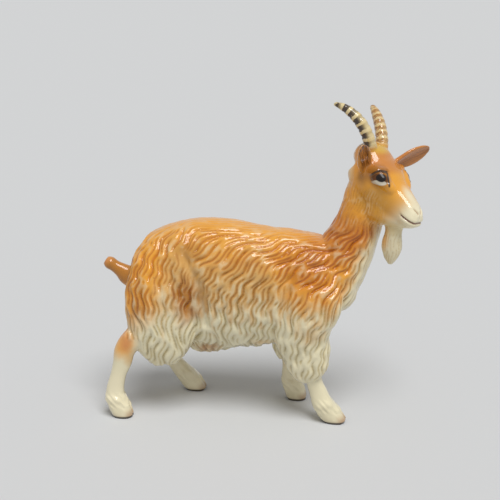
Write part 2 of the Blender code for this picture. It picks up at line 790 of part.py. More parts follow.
def main():
    clear_scene()
    parts = bpy.data.collections.new("goat_figurine")
    bpy.context.scene.collection.children.link(parts)
    goat = bpy.data.objects.new("goat", rough_goat())
    parts.objects.link(goat)
    fuse(goat)
    carve_coat(goat)
    thin_out(goat)
    cut_soles(goat)
    stand_centred(goat)
    goat.data.materials.clear()
    goat.data.materials.append(glaze())
    goat.data.shade_smooth()


main()
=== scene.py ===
"""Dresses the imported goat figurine: carved coat, ringed horns, painted face and clear glaze.

The goat faces +X, its left is +Y, and it stands on z = 0. Lengths are in metres. What is carved
or painted on the face and the hooves, and the places of the glaze, are in millimetres.
"""

import json
import logging
import math
import random
from dataclasses import dataclass, field
from enum import Enum
from itertools import product

import bmesh
import bpy
import numpy as np
from mathutils import Matrix, Vector, noise
from mathutils.kdtree import KDTree

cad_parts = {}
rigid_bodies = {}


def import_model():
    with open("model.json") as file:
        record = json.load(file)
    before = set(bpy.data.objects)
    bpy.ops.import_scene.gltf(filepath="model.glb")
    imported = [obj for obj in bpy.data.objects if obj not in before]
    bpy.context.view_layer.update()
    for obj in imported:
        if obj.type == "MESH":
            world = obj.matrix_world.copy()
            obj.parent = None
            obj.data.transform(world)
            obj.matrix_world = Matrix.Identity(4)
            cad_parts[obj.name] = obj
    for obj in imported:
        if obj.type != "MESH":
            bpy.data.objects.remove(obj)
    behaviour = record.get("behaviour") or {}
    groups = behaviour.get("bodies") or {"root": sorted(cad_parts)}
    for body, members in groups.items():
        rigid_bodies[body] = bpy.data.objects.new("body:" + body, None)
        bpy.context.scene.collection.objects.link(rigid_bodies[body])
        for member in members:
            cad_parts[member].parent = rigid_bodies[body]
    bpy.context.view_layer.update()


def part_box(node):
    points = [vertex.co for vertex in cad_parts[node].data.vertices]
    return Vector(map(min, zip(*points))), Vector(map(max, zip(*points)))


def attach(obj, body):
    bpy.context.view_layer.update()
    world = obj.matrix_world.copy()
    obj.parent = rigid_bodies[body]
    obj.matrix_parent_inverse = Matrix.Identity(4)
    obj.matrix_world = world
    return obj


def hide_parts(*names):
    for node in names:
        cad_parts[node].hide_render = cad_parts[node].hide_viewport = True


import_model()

log = logging.getLogger("goat")
MM = 0.001
FINE_VOXEL = 0.00038
FINE_SOFTENING = 12
MOST_TRIANGLES = 190000
# how far forward the throat's edge runs for each unit up
THROAT_LEAN = 0.42
# the way that the hollow of the ears looks, in the head's frame
EAR_LOOKS = Vector((1, 0, -0.4))
Row = tuple[float, float, float, float, float]
Array = np.ndarray


class Hand(Enum):
    """A side of the goat. The camera sees the near one."""

    NEAR = -1
    FAR = 1


def smoothstep(low: float, high: float, value: Array | float) -> Array | float:
    """Rises smoothly from 0 at low to 1 at high.

    Args:
        low: where the rise starts.
        high: where the rise ends.
        value: one value or an array of them.

    Returns:
        A share from 0 to 1 for each value.
    """
    share = np.clip((value - low) / (high - low), 0, 1)
    return share * share * (3 - 2 * share)


def hump(away: Array, width: float) -> Array:
    """A soft ridge: 1 where away is 0, falling off over the width."""
    return np.exp(-((away / width) ** 2))


def tree_of(points: list[Vector] | Array) -> KDTree:
    """Sorts points into a tree, to find the nearest one.

    Args:
        points: the points.

    Returns:
        The tree, which knows each point by its place in the list.
    """
    tree = KDTree(len(points))
    for index, point in enumerate(points):
        tree.insert(point, index)
    tree.balance()
    return tree


def add_object(name: str, data: bpy.types.ID) -> bpy.types.Object:
    """Puts a new object into the scene."""
    made = bpy.data.objects.new(name, data)
    bpy.context.scene.collection.objects.link(made)
    return made


@dataclass
class Limb:
    """A closed tube through stations: x, y, z, half width and half depth."""

    rows: list[Row]
    side: tuple[float, float, float] = (0, 1, 0)
    place: Matrix = field(default_factory=Matrix)
    squareness: float = 2.0
    hollow: float = 0.0
    sides: int = 32
    between: int = 5

    def smooth_rows(self) -> list[Array]:
        """Fills in rings between the stations along a Catmull-Rom curve.

        Returns:
            One row of five numbers for each ring.
        """
        rows = [np.array(row, float) for row in self.rows]
        padded = [2 * rows[0] - rows[1], *rows, 2 * rows[-1] - rows[-2]]
        filled = []
        for i in range(len(rows) - 1):
            a, b, c, d = padded[i : i + 4]
            for step in range(self.between):
                t = step / self.between
                bend = (2 * a - 5 * b + 4 * c - d) * t * t + (3 * b - a - 3 * c + d) * t**3
                filled.append(0.5 * (2 * b + (c - a) * t + bend))
        return [*filled, rows[-1]]

    def ring_places(self) -> list[Matrix]:
        """Places a unit ring at each row, square to the path.

        Returns:
            One matrix for each ring, whose X runs along the side and Y along the depth.
        """
        rows = self.smooth_rows()
        points = [Vector(row[:3]) for row in rows]
        places = []
        for i, row in enumerate(rows):
            tangent = (points[min(i + 1, len(rows) - 1)] - points[max(i - 1, 0)]).normalized()
            side = Vector(self.side)
            across = (side - tangent * side.dot(tangent)).normalized()
            deep = tangent.cross(across)
            wide, thick = max(row[3], 1e-5), max(row[4], 1e-5)
            turn = Matrix((across * wide, deep * thick, tangent)).transposed().to_4x4()
            places.append(self.place @ Matrix.Translation(row[:3]) @ turn)
        return places

    def build(self, bm: bmesh.types.BMesh) -> None:
        """Adds the tube: a ring extruded from station to station.

        Args:
            bm: the mesh that takes it.
        """
        places = self.ring_places()
        made = bmesh.ops.create_circle(bm, cap_ends=True, segments=self.sides, radius=1)["verts"]
        for vert in made:
            x, y = vert.co.x, vert.co.y
            fill = (abs(x) ** self.squareness + abs(y) ** self.squareness) ** (-1 / self.squareness)
            dent = self.hollow * (1 - x * x) if y > 0 else 0
            vert.co = Vector((x * fill, y * fill - dent, 0))
        bmesh.ops.transform(bm, matrix=places[0], verts=made)
        faces = list({face for vert in made for face in vert.link_faces})
        for before, after in zip(places, places[1:]):
            grown = bmesh.ops.extrude_face_region(bm, geom=faces)["geom"]
            verts = [item for item in grown if isinstance(item, bmesh.types.BMVert)]
            faces = [item for item in grown if isinstance(item, bmesh.types.BMFace)]
            bmesh.ops.transform(bm, matrix=after @ before.inverted(), verts=verts)


def span(start: Vector, end: Vector, stations: list[Row], wide: float, deep: float) -> list[Row]:
    """Lays stations out between two points.

    Args:
        start: where share 0 lies.
        end: where share 1 lies.
        stations: share of the way, then forward and left as shares of the distance, then shares
            of the half width and half depth.
        wide: the half width.
        deep: the half depth.

    Returns:
        Rows for a Limb.
    """
    length = (end - start).length
    rows = []
    for share, forward, left, w, d in stations:
        x, y, z = start.lerp(end, share)
        rows.append((x + forward * length, y + left * length, z, w * wide, d * deep))
    return rows


@dataclass
class Trunk:
    """The barrel of the body, with the full belly in front of the thighs."""

    length: float = 0.1015
    width: float = 0.0410
    back: float = 0.0902
    under: float = 0.0325
    rump: float = -0.0605
    belly_width: float = 0.0180
    belly_depth: float = 0.0135

    def at(self, along: float, across: float, up: float) -> Vector:
        """A point in the trunk's own box: shares of its length, half width and depth."""
        x = self.rump + along * self.length
        return Vector((x, across * self.width / 2, self.under + up * (self.back - self.under)))

    def build(self, bm: bmesh.types.BMesh) -> None:
        """Adds the barrel and the belly.

        Args:
            bm: the mesh that takes them.
        """
        # share of the length, then top, bottom and half width as shares of the depth and width
        stations = [
            (0.00, 0.57, 0.34, 0.28),
            (0.03, 0.70, 0.23, 0.55),
            (0.09, 0.835, 0.13, 0.76),
            (0.18, 0.950, 0.06, 0.90),
            (0.29, 1.005, 0.00, 0.97),
            (0.42, 1.005, -0.03, 1.00),
            (0.53, 0.975, -0.02, 1.00),
            (0.64, 0.955, 0.02, 0.98),
            (0.74, 0.945, 0.09, 0.93),
            (0.84, 0.90, 0.18, 0.85),
            (0.91, 0.80, 0.24, 0.74),
            (0.975, 0.66, 0.30, 0.57),
            (1.01, 0.54, 0.39, 0.32),
        ]
        rows = []
        for along, top, bottom, wide in stations:
            half_depth = (top - bottom) / 2 * (self.back - self.under)
            rows.append((*self.at(along, 0, (top + bottom) / 2), wide * self.width / 2, half_depth))
        Limb(rows, squareness=2.25).build(bm)
        wide, deep = self.belly_width / 2, self.belly_depth / 2
        belly = [
            (0.0, 0, 0, 0.45, 0.44),
            (0.2, 0, 0, 1.00, 1.04),
            (0.6, 0, 0, 1.00, 0.96),
            (1.0, 0, 0, 0.55, 0.44),
        ]
        front, behind = self.at(0.52, 0, 0.05), self.at(0.24, 0, 0.03)
        Limb(span(behind, front, belly, wide, deep)).build(bm)


@dataclass
class Head:
    """Skull, jaw, brows, horns, ears and beard, in a frame whose origin is the poll."""

    poll: tuple[float, float, float] = (0.0500, -0.0010, 0.1250)
    turn: float = math.radians(35)
    tilt: float = math.radians(5)
    depth: float = 0.0340
    length: float = 0.0250
    width: float = 0.0206
    near_horn: float = 0.0290
    far_horn: float = 0.0260
    horn_thickness: float = 0.0056
    ear_length: float = 0.0175
    ear_width: float = 0.0082
    ear_thickness: float = 0.0026
    far_ear_spread: float = 1.22
    ear_hollow: float = 1.1
    beard_length: float = 0.0190
    beard_width: float = 0.0098
    middle: float = -0.38

    def place(self) -> Matrix:
        """Maps the head's own frame (forward, left, up from the poll) to the goat's."""
        middle = Vector((0, 0, self.middle * self.depth))
        tilt = Matrix.Rotation(-self.tilt, 4, "X")
        tilt = Matrix.Translation(middle) @ tilt @ Matrix.Translation(-middle)
        return Matrix.Translation(self.poll) @ Matrix.Rotation(-self.turn, 4, "Z") @ tilt

    def skull(self, bm: bmesh.types.BMesh) -> None:
        """Adds the skull, the jaw, the brows and the swell of the eyes.

        Args:
            bm: the mesh that takes them.
        """
        reach, half, deep = self.length, self.width / 2, self.depth
        # shares: forward of the reach, up from the poll of the depth, half width, half depth
        skull = [
            (-0.44, -0.221, 0.25, 0.059),
            (-0.36, -0.191, 0.62, 0.162),
            (-0.24, -0.194, 0.84, 0.265),
            (-0.14, -0.312, 0.97, 0.312),
            (-0.02, -0.429, 1.00, 0.329),
            (0.09, -0.518, 0.98, 0.324),
            (0.25, -0.609, 0.83, 0.291),
            (0.44, -0.682, 0.68, 0.235),
            (0.61, -0.759, 0.57, 0.194),
            (0.74, -0.818, 0.53, 0.162),
            (0.84, -0.847, 0.44, 0.124),
            (0.90, -0.859, 0.28, 0.071),
        ]
        jaw = [
            (-0.24, -0.588, 0.62, 0.206),
            (0.00, -0.706, 0.82, 0.244),
            (0.20, -0.782, 0.78, 0.215),
            (0.40, -0.824, 0.60, 0.165),
            (0.58, -0.859, 0.48, 0.124),
            (0.72, -0.882, 0.40, 0.097),
            (0.80, -0.894, 0.26, 0.059),
        ]
        for stations in (skull, jaw):
            rows = [(f * reach, 0, up * deep, w * half, d * deep) for f, up, w, d in stations]
            Limb(rows, place=self.place(), squareness=2.5).build(bm)
        # shares: forward, out, up, and thickness of the depth
        brow = [
            (0.02, 0.62, -0.265, 0.077),
            (0.20, 0.72, -0.329, 0.106),
            (0.36, 0.66, -0.429, 0.088),
            (0.48, 0.50, -0.529, 0.053),
        ]
        eye = [(0.24, 0.66, -0.371, 0.035), (0.32, 0.72, -0.394, 0.071), (0.42, 0.66, -0.435, 0.035)]
        for hand in Hand:
            for stations in (brow, eye):
                rows = [
                    (f * reach, hand.value * out * half, up * deep, thick * deep, thick * deep)
                    for f, out, up, thick in stations
                ]
                Limb(rows, place=self.place()).build(bm)

    def horn_rows(self, hand: Hand) -> list[Row]:
        """Walks a horn from its base to its tip as it bends back by a steady turn.

        Args:
            hand: which horn.

        Returns:
            Rows for a Limb, in the head's frame.
        """
        near = hand is Hand.NEAR
        length = self.near_horn if near else self.far_horn
        # degrees: the lean back at the base and at the tip, and the spread
        first, last, spread = (2, 86, 18) if near else (20, 60, 25)
        steps = 6
        place = Vector((-0.08 * self.length, hand.value * 0.194 * self.width, -0.088 * self.depth))
        rows = []
        for step in range(steps + 1):
            share = step / steps
            girth = self.horn_thickness / 2 * (1.0 - 0.20 * share - 0.50 * share**4)
            rows.append((*place, girth, girth))
            lean = math.radians(first + (last - first) * share)
            aside = hand.value * math.sin(math.radians(spread))
            way = Vector((-math.sin(lean), aside, math.cos(lean))).normalized()
            place = place + way * (length / steps)
        return rows

    def ear_axis(self, hand: Hand) -> tuple[Vector, Vector]:
        """Where an ear grows from and the way that it points.

        Args:
            hand: which ear.

        Returns:
            Its root and its direction, in the head's frame.
        """
        near = hand is Hand.NEAR
        along, out, up = (-0.02, 0.427, -0.294) if near else (0.14, 0.388, -0.235)
        rise, sweep = (math.radians(turn) for turn in ((42, 25) if near else (27, 32)))
        root = Vector((along * self.length, hand.value * out * self.width, up * self.depth))
        aside = hand.value * math.cos(rise) * math.cos(sweep)
        return root, Vector((math.cos(rise) * math.sin(sweep), aside, math.sin(rise)))

    def ear(self, bm: bmesh.types.BMesh, hand: Hand) -> None:
        """Adds an ear: a leaf with a hollow front.

        Args:
            bm: the mesh that takes it.
            hand: which ear.
        """
        root, outward = self.ear_axis(hand)
        # shares: along the ear, half width, thickness
        stations = [
            (0.00, 0.60, 0.95),
            (0.18, 0.80, 0.90),
            (0.40, 1.00, 0.80),
            (0.62, 0.96, 0.70),
            (0.82, 0.72, 0.62),
            (0.95, 0.38, 0.45),
            (1.00, 0.14, 0.20),
        ]
        spread = 1.0 if hand is Hand.NEAR else self.far_ear_spread
        rows = []
        for share, wide, thick in stations:
            point = root + outward * (share * self.ear_length)
            rows.append((*point, spread * wide * self.ear_width / 2, thick * self.ear_thickness))
        side = tuple(EAR_LOOKS.cross(outward))
        Limb(rows, side=side, place=self.place(), hollow=self.ear_hollow).build(bm)

    def beard(self, bm: bmesh.types.BMesh) -> None:
        """Adds the beard that hangs from the chin.

        Args:
            bm: the mesh that takes it.
        """
        half = self.beard_width / 2
        start = Vector((0.42 * self.length, 0, -0.926 * self.depth))
        end = start + Vector((-0.032 * self.beard_length, 0, -self.beard_length))
        stations = [
            (0.00, 0, 0, 0.66, 0.94),
            (0.24, 0, 0, 0.58, 0.84),
            (0.46, 0, 0, 0.62, 0.98),
            (0.64, 0, 0, 0.62, 0.98),
            (0.84, 0, 0, 0.44, 0.68),
            (1.00, 0, 0, 0.14, 0.20),
        ]
        Limb(span(start, end, stations, half, half), place=self.place()).build(bm)

    def build(self, bm: bmesh.types.BMesh) -> None:
        """Adds all of the head.

        Args:
            bm: the mesh that takes it.
        """
        self.skull(bm)
        self.beard(bm)
        for hand in Hand:
            Limb(self.horn_rows(hand), place=self.place()).build(bm)
            self.ear(bm, hand)


@dataclass
class Neck:
    """The neck between the shoulders and the back of the skull."""

    trunk: Trunk
    head: Head
    thickness: float = 0.0190

    def ends(self) -> tuple[Vector, Vector]:
        """Its root in the trunk and its top in the skull."""
        head = self.head
        top = head.place() @ Vector((-0.12 * head.length, 0, head.middle * head.depth))
        return self.trunk.at(0.82, 0, 0.46), top

    def build(self, bm: bmesh.types.BMesh) -> None:
        """Adds the neck.

        Args:
            bm: the mesh that takes it.
        """
        thick = self.thickness / 2
        stations = [
            (0.00, 0, 0, 1.70, 1.62),
            (0.15, 0.058, 0, 1.58, 1.58),
            (0.33, 0.091, 0, 1.32, 1.34),
            (0.52, 0.087, 0, 1.08, 1.14),
            (0.69, 0.062, 0, 0.98, 1.05),
            (0.85, 0.026, 0, 0.95, 1.00),
            (1.00, 0, 0, 0.90, 0.90),
        ]
        Limb(span(*self.ends(), stations, thick, thick)).build(bm)


@dataclass
class Leg:
    """A leg in two limbs: the furred upper part, and the bare shank with its hoof."""

    top: Vector
    hoof: tuple[float, float]
    upper_width: float
    upper_depth: float
    upper: list[Row]
    lower: list[Row]
    path: list[tuple[float, float, float]]
    cannon: float = 0.0064
    hoof_length: float = 0.0098

    def build(self, bm: bmesh.types.BMesh) -> None:
        """Adds the leg. The upper rows are shares of the fur's size, the lower ones of the cannon's.

        Args:
            bm: the mesh that takes it.
        """
        end = Vector((*self.hoof, 0))
        wide, deep, thin = self.upper_width / 2, self.upper_depth / 2, self.cannon / 2
        lower = [(s, f, left, w * thin, d * thin) for s, f, left, w, d in self.lower]
        foot = self.hoof_length / 2
        # shares of a unit across and deep, from the fetlock to the sole
        girths = [
            (1.0, 1.12, thin),
            (1.08, 1.30, thin),
            (0.92, 0.96, foot),
            (0.94, 1.0, foot),
            (0.90, 0.96, foot),
        ]
        for (share, forward, left), (w, d, unit) in zip(self.path, girths):
            lower.append((share, forward, left, w * unit, d * unit))
        Limb(span(self.top, end, self.upper, wide, deep), squareness=2.2).build(bm)
        Limb(span(self.top, end, lower, 1, 1), squareness=2.3).build(bm)


def make_legs(trunk: Trunk) -> list[Leg]:
    """Sets out the four legs in the pose of a slow walk.

    Args:
        trunk: the trunk that carries them.

    Returns:
        The near hind, far hind, near fore and far fore leg.
    """
    thigh = (0.0192, 0.0330)
    skirt = (0.0180, 0.0290)
    near_hind = Leg(
        trunk.at(0.148, -0.44, 0.685),
        (-0.0624, -0.0175),
        *thigh,
        upper=[
            (-0.10, 0, 0.041, 0.469, 0.45),
            (0.00, 0, 0.011, 0.833, 0.76),
            (0.17, 0.036, -0.019, 1.0, 0.97),
            (0.33, 0.085, -0.022, 0.979, 1.00),
            (0.47, 0.115, -0.014, 0.875, 0.88),
            (0.58, 0.146, 0, 0.667, 0.62),
            (0.65, 0.167, 0.007, 0.313, 0.28),
        ],
        lower=[
            (0.44, 0.054, -0.027, 1.4, 1.9),
            (0.48, -0.054, -0.046, 1.34, 1.6),
            (0.55, -0.092, -0.046, 1.18, 1.5),
            (0.63, -0.092, -0.041, 1.04, 1.35),
        ],
        path=[
            (0.72, -0.1, -0.032),
            (0.82, -0.1, -0.02),
            (0.89, -0.078, -0.012),
            (0.95, -0.038, -0.005),
            (1.02, 0, 0),
        ],
    )
    far_hind = Leg(
        trunk.at(0.148, 0.44, 0.685),
        (-0.0345, 0.0175),
        *thigh,
        upper=[
            (-0.10, 0, -0.041, 0.469, 0.45),
            (0.00, 0, -0.011, 0.833, 0.76),
            (0.17, -0.004, 0.019, 1.0, 0.97),
            (0.33, -0.005, 0.022, 0.979, 0.94),
            (0.47, -0.025, 0.014, 0.812, 0.79),
            (0.58, -0.063, 0.005, 0.625, 0.55),
        ],
        lower=[
            (0.53, -0.079, 0.03, 1.3, 1.7),
            (0.60, -0.172, 0.035, 1.22, 1.44),
            (0.68, -0.177, 0.03, 1.03, 1.3),
        ],
        path=[
            (0.78, -0.136, 0.022),
            (0.86, -0.09, 0.014),
            (0.92, -0.046, 0.008),
            (0.97, -0.016, 0.003),
            (1.02, 0.005, 0),
        ],
    )
    near_fore = Leg(
        trunk.at(0.81, -0.49, 0.65),
        (0.0345, -0.0120),
        *skirt,
        upper=[
            (-0.12, 0, 0.042, 0.444, 0.50),
            (0.00, 0, 0.011, 0.8, 0.88),
            (0.17, -0.039, -0.034, 1.0, 1.03),
            (0.31, -0.101, -0.039, 1.0, 0.94),
            (0.43, -0.119, -0.028, 0.911, 0.84),
            (0.52, -0.112, -0.017, 0.8, 0.75),
            (0.60, -0.112, -0.014, 0.78, 0.66),
            (0.67, -0.108, -0.008, 0.68, 0.54),
            (0.71, -0.100, -0.006, 0.44, 0.33),
        ],
        lower=[(0.60, -0.091, -0.008, 1.1, 1.3)],
        path=[
            (0.72, -0.094, -0.006),
            (0.81, -0.079, -0.004),
            (0.88, -0.065, -0.003),
            (0.94, -0.031, 0),
            (1.02, 0.011, 0),
        ],
    )
    far_fore = Leg(
        trunk.at(0.81, 0.49, 0.65),
        (0.0150, 0.0120),
        *skirt,
        upper=[
            (-0.12, 0, -0.043, 0.444, 0.50),
            (0.00, 0, -0.011, 0.8, 0.88),
            (0.17, -0.043, 0.034, 1.0, 1.03),
            (0.37, -0.094, 0.034, 0.956, 0.84),
            (0.53, -0.122, 0.02, 0.778, 0.57),
            (0.62, -0.117, 0.014, 0.622, 0.44),
            (0.70, -0.094, 0.009, 0.444, 0.30),
        ],
        lower=[(0.62, -0.097, 0.013, 1.1, 1.3)],
        path=[
            (0.74, -0.078, 0.007),
            (0.83, -0.065, 0.004),
            (0.89, -0.045, 0.003),
            (0.95, -0.018, 0),
            (1.02, 0.003, 0),
        ],
    )
    return [near_hind, far_hind, near_fore, far_fore]


@dataclass
class Tail:
    """The short tail, held out behind with a knob of hair at its end."""

    trunk: Trunk
    length: float = 0.0150
    thickness: float = 0.0058

    def build(self, bm: bmesh.types.BMesh) -> None:
        """Adds the tail.

        Args:
            bm: the mesh that takes it.
        """
        half = self.thickness / 2
        tip = self.trunk.at(0.0, 0, 0.52) + self.length * Vector((-0.88, 0, 0.47))
        stations = [
            (0.00, 0.26, 0, 1.6, 2.2),
            (0.28, 0, 0, 1.30, 1.8),
            (0.52, 0, 0, 1.08, 1.25),
            (0.72, 0, 0, 0.95, 0.98),
            (0.88, 0, 0, 1.05, 1.05),
            (1.00, 0, 0, 0.70, 0.70),
        ]
        Limb(span(self.trunk.at(0.02, 0, 0.47), tip, stations, half, half)).build(bm)


@dataclass
class Body:
    """All limbs melted into one skin."""

    trunk: Trunk = field(default_factory=Trunk)
    head: Head = field(default_factory=Head)

    def rough(self) -> bpy.types.Mesh:
        """Builds the limbs, overlapping where they join.

        Returns:
            Their mesh.
        """
        bm = bmesh.new()
        neck, tail = Neck(self.trunk, self.head), Tail(self.trunk)
        for part in (self.trunk, self.head, neck, *make_legs(self.trunk), tail):
            part.build(bm)
        bmesh.ops.recalc_face_normals(bm, faces=list(bm.faces))
        mesh = bpy.data.meshes.new("goat_glazed")
        bm.to_mesh(mesh)
        bm.free()
        return mesh

    def fuse(self, voxel: float, soften_times: int) -> bpy.types.Object:
        """Melts the limbs together, and softens the joints.

        Args:
            voxel: the width of a voxel.
            soften_times: how often the skin is smoothed.

        Returns:
            The goat's object, in the goat's own frame.
        """
        goat = add_object("goat_glazed", self.rough())
        remesh = goat.modifiers.new("one_skin", "REMESH")
        remesh.mode = "VOXEL"
        remesh.voxel_size = voxel
        soften = goat.modifiers.new("soften", "SMOOTH")
        soften.factor = 0.5
        soften.iterations = soften_times
        bake(goat)
        return goat


def bake(obj: bpy.types.Object) -> None:
    """Bakes the object's modifiers into its mesh.

    Args:
        obj: the object.
    """
    graph = bpy.context.evaluated_depsgraph_get()
    mesh = bpy.data.meshes.new_from_object(obj.evaluated_get(graph))
    obj.modifiers.clear()
    obj.data = mesh


class Skin:
    """The goat's vertices as arrays, with what is known of each point."""

    def __init__(self, goat: bpy.types.Object, body: Body) -> None:
        """Reads the mesh.

        Args:
            goat: the fused goat.
            body: the sizes that it was made from.
        """
        self.body = body
        self.mesh = goat.data
        self.count = len(self.mesh.vertices)
        self.points = self.read("co")
        self.normals = self.read("normal")
        self.to_head = body.head.place().inverted()
        self.refresh()
        self.plant()

    def read(self, name: str) -> Array:
        """A vertex property of three numbers, as an array."""
        values = np.empty(self.count * 3, np.float32)
        self.mesh.vertices.foreach_get(name, values)
        return values.reshape(-1, 3).astype(float)

    def plant(self) -> None:
        """Sorts the points into a tree, to find the skin's nearest point."""
        self.tree = tree_of(self.points)

    def refresh(self) -> None:
        """Works out the points again in the head's own frame, in millimetres."""
        turn = np.array(self.to_head.to_3x3())
        self.in_head = (self.points @ turn.T + np.array(self.to_head.translation)) / MM
        self.head_normals = self.normals @ turn.T

    def push(self, lift: Array) -> None:
        """Moves each vertex along its normal, and works out the new normals.

        Args:
            lift: how far each vertex moves, in metres.
        """
        self.points += self.normals * lift[:, None]
        self.mesh.vertices.foreach_set("co", self.points.astype(np.float32).ravel())
        self.mesh.update()
        self.points = self.read("co")
        self.normals = self.read("normal")
        self.refresh()

    def keep(self, name: str, values: Array) -> None:
        """Stores a number for each vertex, for the glaze to read.

        Args:
            name: the attribute's name.
            values: one number for each vertex.
        """
        attribute = self.mesh.attributes.new(name, "FLOAT", "POINT")
        attribute.data.foreach_set("value", values.astype(np.float32))

    def above(self, low: float, high: float) -> Array:
        """0 up to one share of the trunk's depth, 1 from another on."""
        trunk = self.body.trunk
        return smoothstep(trunk.at(0, 0, low).z, trunk.at(0, 0, high).z, self.points[:, 2])

    def bump(self, centre: tuple[float, float, float], radii: tuple[float, float, float]) -> Array:
        """A soft round share about a point of the head, the same on both sides.

        Args:
            centre: forward, out and up from the poll, in millimetres.
            radii: its reach each way, in millimetres.

        Returns:
            1 at the centre, falling to 0 at the radii.
        """
        local = self.in_head.copy()
        local[:, 1] = np.abs(local[:, 1])
        away = np.linalg.norm((local - centre) / radii, axis=1)
        return 1 - smoothstep(0, 1, away)


Mark = tuple[Vector, float]
Cell = tuple[int, int, int]


@dataclass
class Furrows:
    """Smooth furrows before the thighs and behind the shoulders."""

    width: float = 0.0024
    thigh_depth: float = 0.0016
    shoulder_depth: float = 0.0010
    smoothing: float = 0.6

    def share(self, skin: Skin, hand: Hand, stops: list[tuple[float, float]]) -> Array:
        """How near each vertex is to one furrow.

        Args:
            skin: the goat's skin.
            hand: the side that the furrow is on.
            stops: its course in shares of the trunk's length and depth.

        Returns:
            1 in the furrow, falling to 0 beside it.
        """
        trunk, points = skin.body.trunk, skin.points
        path = [trunk.at(along, 0, up) for along, up in stops]
        flat = points[:, (0, 2)]
        away = np.full(skin.count, np.inf)
        for first, second in zip(path, path[1:]):
            a, b = np.array((first.x, first.z)), np.array((second.x, second.z))
            share = np.clip((flat - a) @ (b - a) / ((b - a) @ (b - a)), 0, 1)
            away = np.minimum(away, np.linalg.norm(flat - a - share[:, None] * (b - a), axis=1))
        outer = smoothstep(0.10 * trunk.width, 0.25 * trunk.width, hand.value * points[:, 1])
        return hump(away, self.width) * outer

    def dents(self, skin: Skin) -> Array:
        """How deep each vertex lies in a furrow, in metres."""
        thigh = self.share(skin, Hand.NEAR, [(0.257, 0.79), (0.336, 0.53), (0.356, 0.24)])
        thigh += self.share(skin, Hand.FAR, [(0.257, 0.79), (0.360, 0.53), (0.440, 0.24)])
        shoulder = self.share(skin, Hand.NEAR, [(0.724, 0.62), (0.704, 0.41), (0.695, 0.18)])
        shoulder += self.share(skin, Hand.FAR, [(0.724, 0.62), (0.660, 0.41), (0.600, 0.18)])
        return self.thigh_depth * thigh + self.shoulder_depth * shoulder

    def press(self, skin: Skin) -> Array:
        """Presses the furrows into the skin.

        Args:
            skin: the goat's skin.

        Returns:
            How much of the coat's carving is left at each vertex.
        """
        dents = self.dents(skin)
        skin.push(-dents)
        skin.plant()
        return 1 - self.smoothing * dents / self.thigh_depth


@dataclass(frozen=True)
class Lie:
    """How far back the coat leans for each unit down, from place to place."""

    thigh: float = 0.12
    flank: float = 1.3
    shoulder: float = 0.35
    neck: float = 0.30
    skirt: float = 0.08
    gather: float = 3.0
    thigh_middle: float = 0.20

    def lean(self, along: float, up: float) -> float:
        """How far back the coat leans at one place.

        Args:
            along: the place as a share of the trunk's length.
            up: the place as a share of its depth.

        Returns:
            The lean.
        """
        behind = smoothstep(0.24, 0.36, along)
        chest = 1 - smoothstep(0.92, 1.08, along)
        lean = self.thigh + behind * chest * (self.flank * smoothstep(0.30, 1.0, up))
        lean += self.shoulder * smoothstep(0.70, 0.85, along) * chest
        neck = smoothstep(0.85, 1.15, up)
        lean = lean * (1 - neck) + self.neck * neck
        skirt = 1 - smoothstep(-0.10, 0.25, up)
        lean = lean * (1 - skirt) + self.skirt * skirt
        drawn_in = smoothstep(0.55, 0.35, up) - 2.2 * smoothstep(0.22, 0.02, up)
        return lean + self.gather * (1 - behind) * drawn_in * (along - self.thigh_middle)


